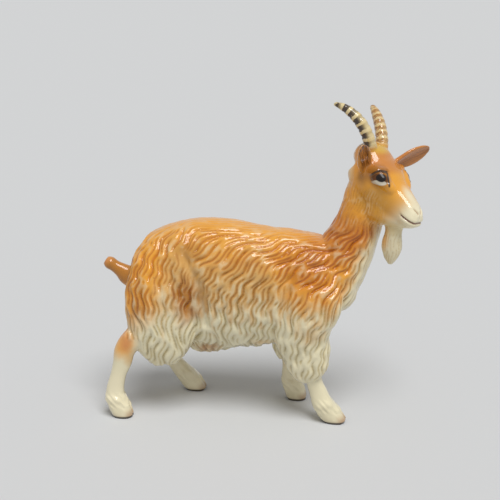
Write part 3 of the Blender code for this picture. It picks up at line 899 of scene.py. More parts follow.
@dataclass
class Grooves:
    """Grooves combed side by side along the lie of the hair."""

    width: float
    length: float
    seed: int
    meet: float = 0.6
    wave: float = 0.0105
    swing: float = 0.42
    step: float = 0.0005
    bare: float = 0.08
    haired: float = 0.15
    apart: float = 0.92
    lie: Lie = Lie()
    lines: list[list[Mark]] = field(default_factory=list)
    cells: dict[Cell, list[Vector]] = field(default_factory=dict)

    def flow(self, trunk: Trunk, point: Vector) -> Vector:
        """The way that the coat lies at a point, before it is laid on the surface.

        Args:
            trunk: the trunk, whose box the lie follows.
            point: a point near the skin.

        Returns:
            A unit vector, back and down.
        """
        low, high = trunk.at(0, 0, 0), trunk.at(1, 0, 1)
        along = (point.x - low.x) / (high.x - low.x)
        up = (point.z - low.z) / (high.z - low.z)
        return Vector((-self.lie.lean(along, up), 0, -1)).normalized()

    def heading(self, trunk: Trunk, point: Vector, normal: Vector) -> Vector:
        """The way that a groove runs at a point: with the coat, swinging from side to side."""
        flow = self.flow(trunk, point)
        drift = noise.noise(point / (3 * self.wave))
        phase = (point.z + 0.4 * point.x) / self.wave + drift
        heading = flow + normal.cross(flow) * (self.swing * math.sin(2 * math.pi * phase))
        heading -= normal * heading.dot(normal)
        return heading.normalized()

    def cell(self, point: Vector) -> Cell:
        """The cell of space that a point is in, as wide as a lock."""
        return tuple(math.floor(c / self.width) for c in point)

    def mark(self, point: Vector) -> None:
        """Notes that a groove passes a point."""
        self.cells.setdefault(self.cell(point), []).append(point)

    def crowded(self, point: Vector, room: float) -> bool:
        """Whether a groove already passes within this room of the point.

        Args:
            point: the point.
            room: the distance that has to be free.

        Returns:
            True where one does.
        """
        i, j, k = self.cell(point)
        for cell in product((i - 1, i, i + 1), (j - 1, j, j + 1), (k - 1, k, k + 1)):
            if any((other - point).length < room for other in self.cells.get(cell, ())):
                return True
        return False

    def path(self, skin: Skin, share: Array, start: Vector, half: float) -> list[Vector]:
        """Follows the coat both ways from a point, until the groove is long enough or meets another.

        Args:
            skin: the goat's skin.
            share: how deeply the coat is cut at each vertex.
            start: where it starts.
            half: how far it may run each way.

        Returns:
            The groove's points.
        """
        path = [start]
        for way in (1, -1):
            point = start
            for _ in range(int(half / self.step)):
                spot, index, _ = skin.tree.find(point)
                normal = Vector(skin.normals[index])
                point = point + self.heading(skin.body.trunk, point, normal) * (way * self.step)
                point -= normal * (point - spot).dot(normal)
                if share[index] < self.bare or self.crowded(point, self.meet * self.width):
                    break
                path.insert(0 if way < 0 else len(path), point)
        return path

    def beside(self, skin: Skin, share: Array, point: Vector) -> list[Vector]:
        """Where the next grooves can start on both sides of a point.

        Args:
            skin: the goat's skin.
            share: how deeply the coat is cut at each vertex.
            point: a point of a groove.

        Returns:
            The places that the coat covers.
        """
        _, index, _ = skin.tree.find(point)
        normal = Vector(skin.normals[index])
        aside = normal.cross(self.heading(skin.body.trunk, point, normal)) * self.width
        places = []
        for place in (point + aside, point - aside):
            spot, index, _ = skin.tree.find(place)
            if share[index] > self.haired:
                places.append(spot.copy())
        return places

    def comb(self, skin: Skin, share: Array) -> None:
        """Draws grooves side by side over the coat.

        Args:
            skin: the goat's skin.
            share: how deeply the coat is cut at each vertex.
        """
        rng = random.Random(self.seed)
        order = [index for index in range(skin.count) if share[index] > self.haired]
        rng.shuffle(order)
        for first in order:
            waiting = [Vector(skin.points[first])]
            while waiting:
                start = waiting.pop(0)
                if self.crowded(start, self.apart * self.width):
                    continue
                path = self.path(skin, share, start, self.length * rng.uniform(0.3, 0.5))
                if len(path) * self.step < self.width:
                    continue
                strength = rng.uniform(0.75, 1.0)
                line = []
                for number, point in enumerate(path):
                    end = min(number, len(path) - 1 - number) * self.step
                    line.append((point, strength * min(1.0, 0.3 + end / self.width)))
                    self.mark(point)
                self.lines.append(line)
                for point in path[:: int(self.width / self.step)]:
                    waiting.extend(self.beside(skin, share, point))

    def depth(self, skin: Skin, share: Array, reach: float, power: float) -> Array:
        """How deep each vertex lies in the grooves.

        Args:
            skin: the goat's skin.
            share: how deeply the coat is cut at each vertex.
            reach: half the width of a groove, as a share of a lock's width.
            power: how sharp its bottom is.

        Returns:
            A share from 0 to 1 for each vertex.
        """
        marks = [mark for line in self.lines for mark in line]
        tree = tree_of([point for point, _ in marks])
        deep = np.zeros(skin.count)
        for index in np.flatnonzero(share > 0.01):
            _, nearest, distance = tree.find(skin.points[index])
            near = max(0.0, 1 - distance / (reach * self.width))
            deep[index] = marks[nearest][1] * near**power
        return deep


@dataclass
class Coat:
    """The long wavy coat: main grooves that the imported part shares, and fine ones between them."""

    coarse_voxel: float = 0.0009
    coarse_softening: int = 5
    main_width: float = 0.0047
    main_length: float = 0.0340
    main_depth: float = 0.0013
    main_reach: float = 0.40
    main_seed: int = 7
    fine_width: float = 0.0022
    fine_length: float = 0.0260
    fine_depth: float = 0.00075
    fine_reach: float = 0.52
    fine_power: float = 1.4
    fine_seed: int = 11
    hair_width: float = 0.0013
    hair_length: float = 0.0150
    hair_depth: float = 0.00035
    hair_power: float = 1.2
    hair_seed: int = 5
    spine_band: float = 0.0080
    fine_spine: float = 0.5
    rise: float = 0.25
    smooth_neck: float = 0.75
    smooth_throat: float = 0.65

    def off_face(self, skin: Skin) -> Array:
        """How far each vertex is from the bare face, beard and ears.

        Args:
            skin: the goat's skin.

        Returns:
            A share from 0 to 1 for each vertex.
        """
        head = skin.body.head
        local = skin.in_head * MM
        skull = np.array((0.35 * head.length, 0, -0.5 * head.depth))
        from_face = np.linalg.norm((local - skull) * (0.8, 1, 0.8), axis=1)
        share = smoothstep(0.34 * head.depth, 0.47 * head.depth, from_face)
        share *= 1 - smoothstep(-0.18 * head.depth, 0, local[:, 2])
        beard = smoothstep(0.20 * head.length, 0.30 * head.length, local[:, 0])
        share *= 1 - beard * smoothstep(-0.80 * head.depth, -0.90 * head.depth, local[:, 2])
        ears = smoothstep(0.50 * head.width, 0.58 * head.width, np.abs(local[:, 1]))
        return share * (1 - ears * smoothstep(-0.62 * head.depth, -0.48 * head.depth, local[:, 2]))

    def share(self, skin: Skin, smooth_spine: float = 1.0) -> Array:
        """How deeply the coat is cut: none on the face, beard, shanks, hooves and spine.

        Args:
            skin: the goat's skin.
            smooth_spine: how smooth the spine stays.

        Returns:
            A share from 0 to 1 for each vertex.
        """
        trunk, points = skin.body.trunk, skin.points
        share = self.off_face(skin) * skin.above(-0.25, -0.16)
        near_hind = make_legs(trunk)[0]
        from_hock = np.linalg.norm(points[:, :2] - np.array(near_hind.hoof), axis=1)
        bare = 1 - smoothstep(1.4 * near_hind.cannon, 1.9 * near_hind.cannon, from_hock)
        share *= 1 - bare * (1 - skin.above(0.085, 0.12))
        share *= smoothstep(trunk.at(-0.03, 0, 0).x, trunk.at(0.01, 0, 0).x, points[:, 0])
        upward = smoothstep(0.60, 0.95, skin.normals[:, 2])
        spine = upward * (1 - smoothstep(0.6, 1.6, np.abs(points[:, 1]) / self.spine_band))
        return share * (1 - smooth_spine * spine)

    def hair_share(self, skin: Skin) -> Array:
        """How deeply the fine hair of the neck, the jaw and the beard is scratched.

        Args:
            skin: the goat's skin.

        Returns:
            A share from 0 to 1 for each vertex.
        """
        head = skin.body.head
        x, y, z = (skin.in_head * MM).T
        face = x + 0.25 * (z + 0.7 * head.depth)
        share = skin.above(0.88, 1.05)
        share *= 1 - smoothstep(0.10 * head.length, 0.55 * head.length, face)
        share *= 1 - smoothstep(-0.58 * head.depth, -0.46 * head.depth, z)
        share *= 1 - smoothstep(0.50 * head.width, 0.58 * head.width, np.abs(y))
        beard = smoothstep(0.22 * head.length, 0.34 * head.length, x)
        beard *= smoothstep(-0.98 * head.depth, -1.10 * head.depth, z)
        return np.maximum(share, beard)

    def throat(self, skin: Skin) -> Array:
        """Where the front of the neck and the chest lie nearly smooth."""
        width = skin.body.trunk.width
        front = skin.points[:, 0] - THROAT_LEAN * skin.points[:, 2]
        return skin.above(0.30, 0.55) * smoothstep(0.29 * width, 0.42 * width, front)

    def main_grooves(self, body: Body) -> Grooves:
        """Combs the main grooves on a coarse skin.

        Args:
            body: the goat's body.

        Returns:
            The grooves.
        """
        goat = body.fuse(self.coarse_voxel, self.coarse_softening)
        skin = Skin(goat, body)
        left = Furrows().press(skin)
        grooves = Grooves(self.main_width, self.main_length, self.main_seed)
        grooves.comb(skin, self.share(skin) * left)
        bpy.data.objects.remove(goat)
        return grooves

    def fine_grooves(self, skin: Skin, share: Array, main: Grooves) -> Grooves:
        """Combs fine grooves between the main ones.

        Args:
            skin: the goat's skin.
            share: how deeply the fine coat is cut at each vertex.
            main: the main grooves.

        Returns:
            The fine grooves.
        """
        fine = Grooves(self.fine_width, self.fine_length, self.fine_seed, meet=0.5)
        for line in main.lines:
            for point, _ in line:
                fine.mark(point)
        fine.comb(skin, share)
        return fine

    def carve(self, skin: Skin) -> None:
        """Cuts the coat, and stores how deep each vertex lies in its grooves.

        Args:
            skin: the goat's skin.
        """
        main = self.main_grooves(skin.body)
        left = Furrows().press(skin)
        neck = 1 - self.smooth_neck * skin.above(0.92, 1.12)
        share = self.share(skin) * left * neck
        fine_share = self.share(skin, self.fine_spine) * left * neck
        hair_share = self.hair_share(skin)
        hair = Grooves(self.hair_width, self.hair_length, self.hair_seed, meet=0.5, swing=0.25)
        hair.comb(skin, hair_share)
        fine = self.fine_grooves(skin, fine_share, main)
        chest = 1 - self.smooth_throat * self.throat(skin)
        share *= chest
        fine_share *= chest
        broad = main.depth(skin, share, self.main_reach, 1.0)
        reach = self.fine_reach * self.fine_width / self.main_width
        narrow = main.depth(skin, share, reach, self.fine_power)
        sharp = np.maximum(fine.depth(skin, fine_share, self.fine_reach, self.fine_power), narrow)
        scratch = hair.depth(skin, hair_share, self.fine_reach, self.hair_power) * hair_share
        lift = (self.rise - broad) * self.main_depth * share
        lift = lift + (self.rise - sharp) * self.fine_depth * fine_share
        skin.push(lift - scratch * self.hair_depth)
        skin.keep("groove", np.maximum(sharp * fine_share, 0.55 * scratch))
        skin.keep("coat", np.maximum(fine_share, 0.7 * hair_share))
        log.info("coat: %d main grooves, %d fine ones", len(main.lines), len(fine.lines))


@dataclass(frozen=True)
class Lids:
    """How the eyes are laid out, in millimetres: along a slant that looks half sideways at the face."""

    slant: float = 0.743
    slope: float = 0.669
    far_back: float = 1.6
    upper: float = -9.1
    outer_curve: float = 0.19
    inner_curve: float = 0.055
    lower: float = -14.9
    lower_curve: float = 0.12


@dataclass
class Face:
    """The carved features of the head, placed in millimetres from the poll."""

    eye: tuple[float, float, float] = (8.6, 9.3, -12.2)
    eye_reach: tuple[float, float, float] = (3.4, 4, 2.2)
    eye_lift: float = 0.45
    brow_lift: float = 0.50
    rim_depth: float = 0.50
    under_lift: float = 0.30
    ball_depth: float = 0.25
    corner_depth: float = 0.5
    nostril_top: tuple[float, float] = (2.9, -23.3)
    nostril_foot: tuple[float, float] = (1.0, -25.9)
    nostril_depth: float = 0.7
    mouth: tuple[float, float] = (17, -27.0)
    mouth_slope: float = 0.60
    mouth_depth: float = 1.0
    lip_lift: float = 0.25
    rings: int = 8
    ring_phase: float = 0.4
    ring_lift: float = 0.10
    ring_depth: float = 0.28
    near_blunt: float = 0.15
    far_blunt: float = 0.45

    def lids(self, skin: Skin) -> Array:
        """Shapes the brows, the lids, the eyeballs and their inner corners.

        Args:
            skin: the goat's skin.

        Returns:
            How far each vertex is lifted, in millimetres.
        """
        x, y, z = skin.in_head.T
        beside = smoothstep(4.0, 5.5, np.abs(y))
        along = Lids.slant * (x + Lids.far_back * (y > 0)) - Lids.slope * np.abs(y)
        upper = Lids.upper - np.where(along < 0, Lids.outer_curve, Lids.inner_curve) * along**2
        lower = Lids.lower + Lids.lower_curve * (along - 0.6) ** 2
        ends = smoothstep(-4.4, -3.2, along) * (1 - smoothstep(3.2, 4.4, along))
        brow = hump(z - upper - 0.9, 0.9)
        rim = hump(z - upper, 0.35)
        under = hump(z - lower + 0.5, 0.6)
        ball = smoothstep(0.0, 0.8, upper - z) * smoothstep(0.0, 0.8, z - lower)
        lid = self.brow_lift * brow - self.rim_depth * rim + self.under_lift * under
        lift = beside * ends * (lid - self.ball_depth * ball)
        lift += self.eye_lift * skin.bump(self.eye, self.eye_reach)
        corner = hump(along - 4.2, 0.6) * hump(z + 13.5, 1.8)
        return lift - self.corner_depth * beside * corner

    def features(self, skin: Skin) -> None:
        """Shapes the eyes, and presses in the nostrils and the mouth.

        Args:
            skin: the goat's skin.
        """
        x, y, z = skin.in_head.T
        nostril = self.nostrils(x, np.abs(y), z)
        skin.keep("nostril", nostril)
        ahead, height = self.mouth
        from_line = z - (height - self.mouth_slope * (x - ahead))
        within = smoothstep(16.0, 17.2, x)
        front = smoothstep(15.5, 18, x) * (1 - smoothstep(1.5, 3, np.abs(from_line)))
        slit = hump(from_line, 0.40) * within
        skin.keep("mouth", hump(from_line, 0.60) * within)
        lift = self.lids(skin) - self.nostril_depth * nostril
        skin.push((lift + self.lip_lift * front - self.mouth_depth * slit) * MM)

    def nostrils(self, x: Array, out: Array, z: Array) -> Array:
        """The slanting slits of the nostrils, and the fold between them and the mouth.

        Args:
            x: forward of the poll, in millimetres.
            out: out from the middle.
            z: up from the poll.

        Returns:
            1 in a slit, falling to 0 beside it.
        """
        top, foot = np.array(self.nostril_top), np.array(self.nostril_foot)
        offset = np.stack((out, z), axis=1) - top
        way = foot - top
        share = np.clip(offset @ way / (way @ way), 0, 1)
        slit = hump(np.linalg.norm(offset - share[:, None] * way, axis=1), 0.55)
        fold = hump(out, 0.4) * smoothstep(-29.5, -28.5, z) * (1 - smoothstep(-26.4, -25.6, z))
        return np.maximum(slit, 0.5 * fold) * smoothstep(20.5, 21.8, x)

    def share_of_horn(self, path: Array, girth: Array, point: Array) -> float | None:
        """How far along a horn a point lies.

        Args:
            path: the middles of the horn's rings.
            girth: their radii.
            point: the point.

        Returns:
            A share from 0 at the base to 1 at the tip, or None off the horn.
        """
        away = np.linalg.norm(path - point, axis=1)
        nearest = int(away.argmin())
        if away[nearest] > girth[nearest] * 1.5 + 0.3:
            return None
        best = nearest
        if 0 < nearest < len(path) - 1:
            before, after = away[nearest - 1], away[nearest + 1]
            best = nearest + 0.5 * (before - after) / max(before + after - 2 * away[nearest], 1e-6)
        return min(max(best / (len(path) - 1), 0.0), 1.0)

    def horns(self, skin: Skin) -> None:
        """Cuts rings into the horns, and stores how far along its horn each vertex lies.

        Args:
            skin: the goat's skin.
        """
        along = np.zeros(skin.count)
        within = np.zeros(skin.count)
        lift = np.zeros(skin.count)
        for hand in Hand:
            blunt = self.far_blunt if hand is Hand.FAR else self.near_blunt
            rows = Limb(skin.body.head.horn_rows(hand)).smooth_rows()
            path = np.array([row[:3] for row in rows]) / MM
            girth = np.array([row[3] for row in rows]) / MM
            for index in np.flatnonzero(skin.in_head[:, 2] > -3.5):
                share = self.share_of_horn(path, girth, skin.in_head[index])
                if share is None:
                    continue
                along[index] = share
                within[index] = smoothstep(0.09, 0.14, share)
                wave = math.cos(2 * math.pi * (self.rings * share - self.ring_phase))
                ring = self.ring_lift - self.ring_depth * max(wave, 0.0) ** 2
                lift[index] = within[index] * ((1 - share**3) * ring + blunt * share)
        skin.keep("horn", within)
        skin.keep("horn_along", along)
        skin.keep("horn_front", smoothstep(0.35, 0.85, skin.head_normals[:, 0]))
        skin.push(lift * MM)

    def ears(self, skin: Skin) -> None:
        """Stores the inside and the outside of the ears.

        Args:
            skin: the goat's skin.
        """
        ear = np.zeros(skin.count)
        inside = np.zeros(skin.count)
        across = np.zeros(skin.count)
        looks = EAR_LOOKS.normalized()
        for hand in Hand:
            root, outward = skin.body.head.ear_axis(hand)
            offset = skin.in_head - np.array(root) / MM
            along = offset @ np.array(outward)
            aside = np.linalg.norm(offset - along[:, None] * np.array(outward), axis=1)
            here = smoothstep(1.5, 4.0, along) * (1 - smoothstep(4.8, 5.8, aside))
            ear = np.maximum(ear, here)
            side = offset @ np.array(EAR_LOOKS.cross(outward).normalized())
            across = np.where(here > 0.01, side, across)
            faces = smoothstep(0.0, 0.5, skin.head_normals @ np.array(looks))
            core = 1 - smoothstep(2.2, 3.4, aside)
            inside = np.maximum(inside, here * faces * core)
        skin.keep("ear", ear)
        skin.keep("ear_across", across)
        skin.keep("ear_inside", inside)

    def carve(self, skin: Skin) -> None:
        """Carves all of the head.

        Args:
            skin: the goat's skin.
        """
        self.features(skin)
        self.horns(skin)
        self.ears(skin)


@dataclass
class Hooves:
    """The hooves: flat soles in metres, and what is carved above them in millimetres."""

    flat: float = 0.0001
    wall_top: float = 5.4
    wall_depth: float = 0.12
    crown_lift: float = 0.28
    heel_height: float = 9.0
    heel_lift: float = 0.45
    cleft_depth: float = 1.3
    pinch: float = 0.35
    pleat_lift: float = 0.20

    def cut(self, goat: bpy.types.Object) -> None:
        """Cuts the hooves flat on the floor, and closes each cut.

        Args:
            goat: the carved goat.
        """
        bm = bmesh.new()
        bm.from_mesh(goat.data)
        whole = [*bm.verts, *bm.edges, *bm.faces]
        down = (0, 0, -1)
        bmesh.ops.bisect_plane(
            bm, geom=whole, dist=self.flat / 2, plane_co=(0, 0, 0), plane_no=down, clear_outer=True
        )
        for vert in bm.verts:
            if vert.co.z < self.flat:
                vert.co.z = 0.0
        rims = [edge for edge in bm.edges if edge.is_boundary]
        bmesh.ops.holes_fill(bm, edges=rims, sides=0)
        bmesh.ops.triangulate(bm, faces=[face for face in bm.faces if len(face.verts) > 4])
        bmesh.ops.recalc_face_normals(bm, faces=list(bm.faces))
        bm.to_mesh(goat.data)
        bm.free()

    def foot(self, ahead: Array, aside: Array, z: Array) -> Array:
        """Shapes a hoof: its wall, crown, heel and cleft, and the creases of the pastern.

        Args:
            ahead: how far before the middle of the hoof, in millimetres.
            aside: how far to its left.
            z: how far above the floor.

        Returns:
            How far each vertex is lifted, in millimetres.
        """
        top = self.wall_top - 0.25 * ahead
        wall = hump(z - top, 0.55)
        crown = hump(z - top - 2.0, 1.5) * smoothstep(-1.0, 2.0, ahead)
        heel = hump(z - self.heel_height, 1.6) * smoothstep(0.0, -3.0, ahead)
        low = 1 - smoothstep(5.5, 9.5, z + 0.25 * ahead)
        cleft = hump(aside, 0.5) * smoothstep(0.0, 2.5, ahead) * low
        shape = self.crown_lift * crown + self.heel_lift * heel - self.wall_depth * wall
        shape = shape - self.cleft_depth * cleft - self.pinch * (1 - smoothstep(0.0, 2.0, z))
        pleat = np.sin(2.1 * (0.9 * ahead + z) + np.sin(1.7 * aside + ahead))
        pleat *= smoothstep(4.0, 6.0, z) * (1 - smoothstep(10, 13, z))
        return shape + self.pleat_lift * pleat

    def cleave(self, skin: Skin, legs: list[Leg]) -> None:
        """Splits each hoof into two toes and creases its pastern, and stores where the toes are.

        Args:
            skin: the goat's skin.
            legs: the four legs.
        """
        x, y, z = skin.points.T / MM
        lift = np.zeros(skin.count)
        toe = np.zeros(skin.count)
        for leg in legs:
            hoof_x, hoof_y = (c / MM for c in leg.hoof)
            ahead, aside = x - hoof_x, y - hoof_y
            here = 1 - smoothstep(8.5, 10.5, np.hypot(ahead, aside))
            lift += here * self.foot(ahead, aside, z)
            tip = smoothstep(-1.0, 3.5, ahead) * (1 - smoothstep(2.0, 5.0, z))
            rim = 0.4 * (1 - smoothstep(0.8, 2.5, z))
            toe = np.maximum(toe, here * np.maximum(tip, rim))
        skin.push(lift * MM)
        skin.keep("toe", toe)


class Sock:
    """A shader value. Arithmetic on it adds Math nodes."""

    def __init__(self, web: "Web", socket: bpy.types.NodeSocket) -> None:
        """Wraps a socket.

        Args:
            web: the node tree that it is in.
            socket: the output socket.
        """
        self.web = web
        self.socket = socket

    def _math(self, operation: str, *values: "Sock | float") -> "Sock":
        """One Math node on these values."""
        return self.web.node("ShaderNodeMath", {"operation": operation}, values)

    def __add__(self, other: "Sock | float") -> "Sock":
        """Their sum."""
        return self._math("ADD", self, other)

    def __sub__(self, other: "Sock | float") -> "Sock":
        """Their difference."""
        return self._math("SUBTRACT", self, other)

    def __rsub__(self, other: float) -> "Sock":
        """Their difference, the other way round."""
        return self._math("SUBTRACT", other, self)

    def __mul__(self, other: "Sock | float") -> "Sock":
        """Their product."""
        return self._math("MULTIPLY", self, other)

    def __truediv__(self, other: "Sock | float") -> "Sock":
        """Their quotient."""
        return self._math("DIVIDE", self, other)

    def __pow__(self, other: "Sock | float") -> "Sock":
        """A power of it."""
        return self._math("POWER", self, other)

    def __abs__(self) -> "Sock":
        """Its size without its sign."""
        return self._math("ABSOLUTE", self)

    __radd__ = __add__
    __rmul__ = __mul__

    def rise(self, low: float, high: float) -> "Sock":
        """A smooth step: 0 up to low, 1 from high on. Low may be the larger."""
        first, last = (0.0, 1.0) if low < high else (1.0, 0.0)
        low, high = min(low, high), max(low, high)
        settings = {"interpolation_type": "SMOOTHSTEP"}
        return self.web.node("ShaderNodeMapRange", settings, (self, low, high, first, last))

    def sine(self) -> "Sock":
        """The sine of it, in radians."""
        return self._math("SINE", self)

    def over(self, other: "Sock | float") -> "Sock":
        """The larger of the two."""
        return self._math("MAXIMUM", self, other)


class Web:
    """The node tree of a material or of the world, built by expressions."""

    def __init__(self, owner: bpy.types.Material | bpy.types.World) -> None:
        """Opens the tree.

        Args:
            owner: the material or the world.
        """
        owner.use_nodes = True
        self.owner = owner
        self.tree = owner.node_tree
        self.shader = self.tree.nodes.get("Principled BSDF")

    def node(self, kind: str, settings: dict, values: tuple | dict = (), out: int | str = 0) -> Sock:
        """Adds one node.

        Args:
            kind: its type.
            settings: its own properties, which are set first.
            values: a number, colour or Sock for each input, in order or by name.
            out: the output to return.

        Returns:
            The chosen output.
        """
        made = self.tree.nodes.new(kind)
        for key, value in settings.items():
            setattr(made, key, value)
        pairs = values.items() if isinstance(values, dict) else enumerate(values)
        for key, value in pairs:
            if isinstance(value, Sock):
                self.tree.links.new(value.socket, made.inputs[key])
            else:
                made.inputs[key].default_value = value
        return Sock(self, made.outputs[out])

    def vector(self, operation: str, *values: Sock | tuple) -> Sock:
        """One Vector Math node on these values."""
        return self.node("ShaderNodeVectorMath", {"operation": operation}, values)

    def scale(self, place: Sock, factor: float) -> Sock:
        """The vector, made this many times as long."""
        return self.node("ShaderNodeVectorMath", {"operation": "SCALE"}, {0: place, "Scale": factor})

    def parts(self, place: Sock) -> list[Sock]:
        """A vector's three numbers."""
        return [self.node("ShaderNodeSeparateXYZ", {}, (place,), axis) for axis in "XYZ"]

    def noise(self, place: Sock, scale: float, detail: float, out: int | str = 0) -> Sock:
        """Smooth noise of this scale, with this many finer octaves."""
        values = {"Vector": place, "Scale": scale, "Detail": detail}
        return self.node("ShaderNodeTexNoise", {}, values, out)

    def mix(
        self, share: Sock | float, first: Sock | tuple, second: Sock | tuple, how: str = "MIX"
    ) -> Sock:
        """Blends two colours.

        Args:
            share: how much of the second.
            first: the first colour.
            second: the second colour.
            how: the blend type.

        Returns:
            The blend.
        """
        values = {0: share, 6: first, 7: second}
        return self.node("ShaderNodeMix", {"data_type": "RGBA", "blend_type": how}, values, 2)

    def attribute(self, name: str) -> Sock:
        """A number stored on the mesh."""
        return self.node("ShaderNodeAttribute", {"attribute_name": name}, out="Fac")

    def feed(self, name: str, value: Sock | float | tuple) -> None:
        """Sets an input of the material's shader.

        Args:
            name: the input.
            value: a number, a colour or a Sock.
        """
        if isinstance(value, Sock):
            self.tree.links.new(value.socket, self.shader.inputs[name])
        else:
            self.shader.inputs[name].default_value = value


Colour = tuple[float, float, float, float]


@dataclass(frozen=True)
class Palette:
    """The underglaze colours, linear."""

    cream: Colour = (0.77, 0.70, 0.48, 1)
    ivory: Colour = (0.84, 0.76, 0.53, 1)
    tan: Colour = (0.64, 0.36, 0.10, 1)
    orange: Colour = (0.80, 0.345, 0.018, 1)
    deep: Colour = (0.56, 0.178, 0.002, 1)
    amber: Colour = (0.44, 0.165, 0.008, 1)
    brown: Colour = (0.23, 0.080, 0.006, 1)
    bark: Colour = (0.085, 0.022, 0.003, 1)
    russet: Colour = (0.56, 0.200, 0.035, 1)
    gold: Colour = (0.60, 0.27, 0.010, 1)
    blush: Colour = (0.64, 0.25, 0.075, 1)
    dark: Colour = (0.010, 0.005, 0.004, 1)
    white: Colour = (0.62, 0.56, 0.44, 1)
    lip: Colour = (0.26, 0.075, 0.045, 1)
    straw: Colour = (0.66, 0.40, 0.035, 1)
    horn: Colour = (0.74, 0.60, 0.32, 1)
    ring: Colour = (0.025, 0.008, 0.003, 1)
    # groove and shade darken the coat's grooves: pooled glaze colour, with painted shade in the creases
    groove: Colour = (0.64, 0.42, 0.08, 1)
    shade: Colour = (0.70, 0.62, 0.44, 1)
    hoof: Colour = (0.40, 0.22, 0.11, 1)


@dataclass(frozen=True)
class Spray:
    """A soft patch of colour: its place and reach in millimetres, its strength and its even core."""

    centre: tuple[float, float, float]
    reach: tuple[float, float, float]
    colour: Colour
    strength: float
    core: float

    def over(self, web: Web, colour: Sock, place: Sock) -> Sock:
        """Sprays the patch over a colour.

        Args:
            web: the material.
            colour: the colour so far.
            place: the point, in millimetres.

        Returns:
            The new colour.
        """
        inverse = tuple(1 / reach for reach in self.reach)
        away = web.vector("MULTIPLY", web.vector("SUBTRACT", place, self.centre), inverse)
        away = web.node("ShaderNodeVectorMath", {"operation": "LENGTH"}, (away,), "Value")
        return web.mix(away.rise(1.0, self.core) * self.strength, colour, self.colour)


